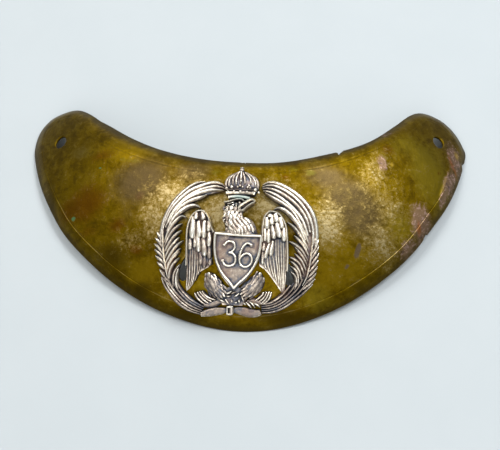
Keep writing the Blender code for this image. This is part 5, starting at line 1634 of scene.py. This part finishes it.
# Golden speckle, which the stronger stains beside the badge raise into painted light and a painted sheen.
gold_and_sheen_field = coats.stored("gold") + clouds * 0.30 - 0.15
grit = specks * 0.35 + dust * 0.20 + mottle * 0.20 + blotch * 0.25
coats.coat(coats.step(grit + gold_and_sheen_field * 0.22, 0.53, 0.68) * 0.55, (0.260, 0.180, 0.050), 0.40)
coats.coat(coats.step(grit + gold_and_sheen_field * 0.16, 0.60, 0.72) * 0.70, (0.440, 0.350, 0.180), 0.38)
stain("pink", (0.260, 0.155, 0.110), 0.48, 0.65, 0.26, 0.85, 2.0)
pinks = coats.stored("pink") + ragged * 1.6
coats.coat(coats.step(pinks, 0.30, 0.80) * coats.step(specks, 0.52, 0.62) * 0.8, (0.420, 0.270, 0.210), 0.42)
coats.coat(coats.step(pinks, 0.30, 0.80) * coats.step(blotch, 0.44, 0.30) * 0.7, (0.075, 0.048, 0.050), 0.55)
stain("ember", (0.300, 0.090, 0.010), 0.45, 0.60, 0.36, 0.90, 2.4)
stain("bright", (0.450, 0.290, 0.030), 0.38, 0.60, 0.36, 0.90, 2.4)
stain("mark", (0.050, 0.032, 0.018), 0.62, 0.80, 0.36, 0.62, 1.2, 0.4)
stain("green", (0.020, 0.140, 0.045), 0.70, 0.7, 0.36, 0.70, 1.6, 0.1)
border = coats.stored("border")
# Painted shade: the turned-down border is darkened towards the rim.
coats.coat(coats.step(border + ragged * 0.9, 0.62, 0.05) * 0.75, (0.055, 0.036, 0.006), 0.52)
line = coats.stored("line") * coats.step(coats.noise(120.0, 2.0), 0.40, 0.58)
coats.coat(line * 0.60, (0.330, 0.250, 0.090), 0.40)
coats.coat((coats.stored("front") * -1.0 + 1.0) * 0.7, (0.090, 0.058, 0.014), 0.55)
coats.bumped((mottle, 0.00012), (blotch, 0.00006), (specks, 0.00004))
coats.done()

# %% [markdown]
# ## Worn silvering
#
# Crests are bright and warm, hollows are blue-black, and the slopes between them are brown and pink. Salts
# have turned the strip under the crown turquoise.

# %% The badge's finish
coats = Finish(silver, (0.034, 0.036, 0.046), 0.60, 1.0)
broad = coats.noise(90.0, 3.0)
fine = coats.noise(900.0, 4.0, 0.65)
grain = coats.noise(2600.0, 2.0, 0.6)
warm = coats.noise(160.0, 3.0, 0.5)
bare = coats.stored("wear") + (fine - 0.5) * 0.50 + (broad - 0.5) * 0.30 + coats.stored("tone")
coats.coat(coats.step(bare, 0.14, 0.34), (0.120, 0.125, 0.150), 0.52)
coats.coat(coats.step(bare, 0.30, 0.48), (0.300, 0.245, 0.200), 0.46)
coats.coat(coats.step(bare, 0.46, 0.62), (0.580, 0.500, 0.410), 0.38)
coats.coat(coats.step(bare, 0.58, 0.78), (0.960, 0.910, 0.790), 0.30)
coats.coat(coats.step(warm, 0.50, 0.66) * coats.step(bare, 0.75, 0.40) * 0.45, (0.260, 0.160, 0.115), 0.48)
coats.coat(coats.step(warm, 0.46, 0.34) * coats.step(bare, 0.60, 0.35) * 0.32, (0.130, 0.155, 0.185), 0.50)
STRIP_MIDDLE, STRIP_HALF = (0.4 * MM, 14.1 * MM), (3.6 * MM, 0.8 * MM)
u, v = coats.stored("flat_x"), coats.stored("flat_y")
aside = (u - STRIP_MIDDLE[0]) / STRIP_HALF[0]
above = (v - STRIP_MIDDLE[1]) / STRIP_HALF[1]
near_strip = aside.math("POWER", 2.0) + above.math("POWER", 2.0)
strip = coats.step(near_strip + (fine - 0.5) * 1.6, 1.5, 0.4) * coats.step(bare, 0.15, 0.50)
coats.coat(strip * 0.65, (0.400, 0.560, 0.530), 0.6, 0.5)
coats.bumped((fine, 0.00007), (grain, 0.00002))
coats.done()

# %% Nuts and board
coats = Finish(nut_brass, (0.160, 0.100, 0.030), 0.55, 1.0)
coats.coat(coats.step(coats.noise(500.0, 4.0), 0.45, 0.65), (0.060, 0.040, 0.018), 0.68)
coats.bumped((coats.noise(1500.0, 3.0), 0.00005))
coats.done()
pale_board = bpy.data.materials.new("pale_board")
coats = Finish(pale_board, (0.440, 0.475, 0.486), 0.85, 0.0)
coats.coat(coats.step(coats.noise(30.0, 3.0), 0.3, 0.7) * 0.5, (0.460, 0.493, 0.503))
coats.done()

# %% [markdown]
# ## The light and the floor
#
# The gorget lies on a plain pale board under soft daylight. Two broad lights above it, a little behind,
# give the two sheens on its upper plate. A third stands at the back and a fourth fills the front. They are
# area lights, since a small lamp would draw hard streaks on metal that real window light never shows.

# %% Floor, sky and lights
FLOOR_HALF = 1.5
board = bpy.data.meshes.new("board")
square = ((-1, -1), (1, -1), (1, 1), (-1, 1))
board.from_pydata([(x * FLOOR_HALF, y * FLOOR_HALF, 0) for x, y in square], [], [(0, 1, 2, 3)])
board.materials.append(pale_board)
floor = link("pale_board", board)
sky = bpy.data.worlds.new("soft_room")
sky.use_nodes = True
sky.node_tree.nodes["Background"].inputs["Color"].default_value = (0.86, 0.93, 1.00, 1)
sky.node_tree.nodes["Background"].inputs["Strength"].default_value = 0.36
bpy.context.scene.world = sky

LIGHTS = (
    ("left_window", (-0.47, 0.17, 0.85), 0.85, 0.42, 3.4, (1.00, 0.98, 0.95)),
    ("right_window", (0.47, 0.17, 0.85), 0.85, 0.34, 5.0, (0.96, 0.98, 1.00)),
    ("back_window", (0.00, 0.75, 0.66), 1.00, 0.60, 3.2, (1.00, 1.00, 1.00)),
    ("front_fill", (-0.08, -0.74, 0.66), 1.20, 0.80, 5.0, (1.00, 0.98, 0.96)),
)
for name, direction, distance, side, watts, tint in LIGHTS:
    lamp = bpy.data.lights.new(name, "AREA")
    lamp.shape = "SQUARE"
    lamp.size = side
    lamp.energy = watts
    lamp.color = tint
    holder = link(name, lamp)
    place = Vector(direction).normalized() * distance
    holder.location = place
    holder.rotation_euler = place.to_track_quat("Z", "Y").to_euler()
print("lights:", len(LIGHTS))

# %% [markdown]
# ## The view
#
# The camera looks down from the front at a steep angle, from about half a metre, with a long lens.

# %% Camera
ELEVATION = math.radians(58)
DISTANCE = 0.507
LENS = 101.8
TARGET = Vector((0, -0.0012, 0))
eye = bpy.data.cameras.new("eye")
eye.lens = LENS
eye.sensor_width = 36
eye.clip_start = 0.01
camera = link("eye", eye)
camera.location = TARGET + Vector((0, -math.cos(ELEVATION), math.sin(ELEVATION))) * DISTANCE
camera.rotation_euler = (math.pi / 2 - ELEVATION, 0, 0)
bpy.context.scene.camera = camera
bpy.context.scene.view_settings.view_transform = "Standard"
print("camera at, mm:", [round(value / MM, 1) for value in camera.location])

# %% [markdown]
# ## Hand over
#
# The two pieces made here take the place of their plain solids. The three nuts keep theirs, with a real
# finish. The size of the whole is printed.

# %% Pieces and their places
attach(plate, "root")
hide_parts("gorget_plate")
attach(badge, "root")
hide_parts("badge")
for name in ("badge_nut_top", "badge_nut_left", "badge_nut_right"):
    nut = bpy.data.objects[name]
    nut.data.materials.clear()
    nut.data.materials.append(nut_brass)
floor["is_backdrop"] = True
low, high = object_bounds()
print("whole, mm:", [round(float(side) / MM, 1) for side in high - low])
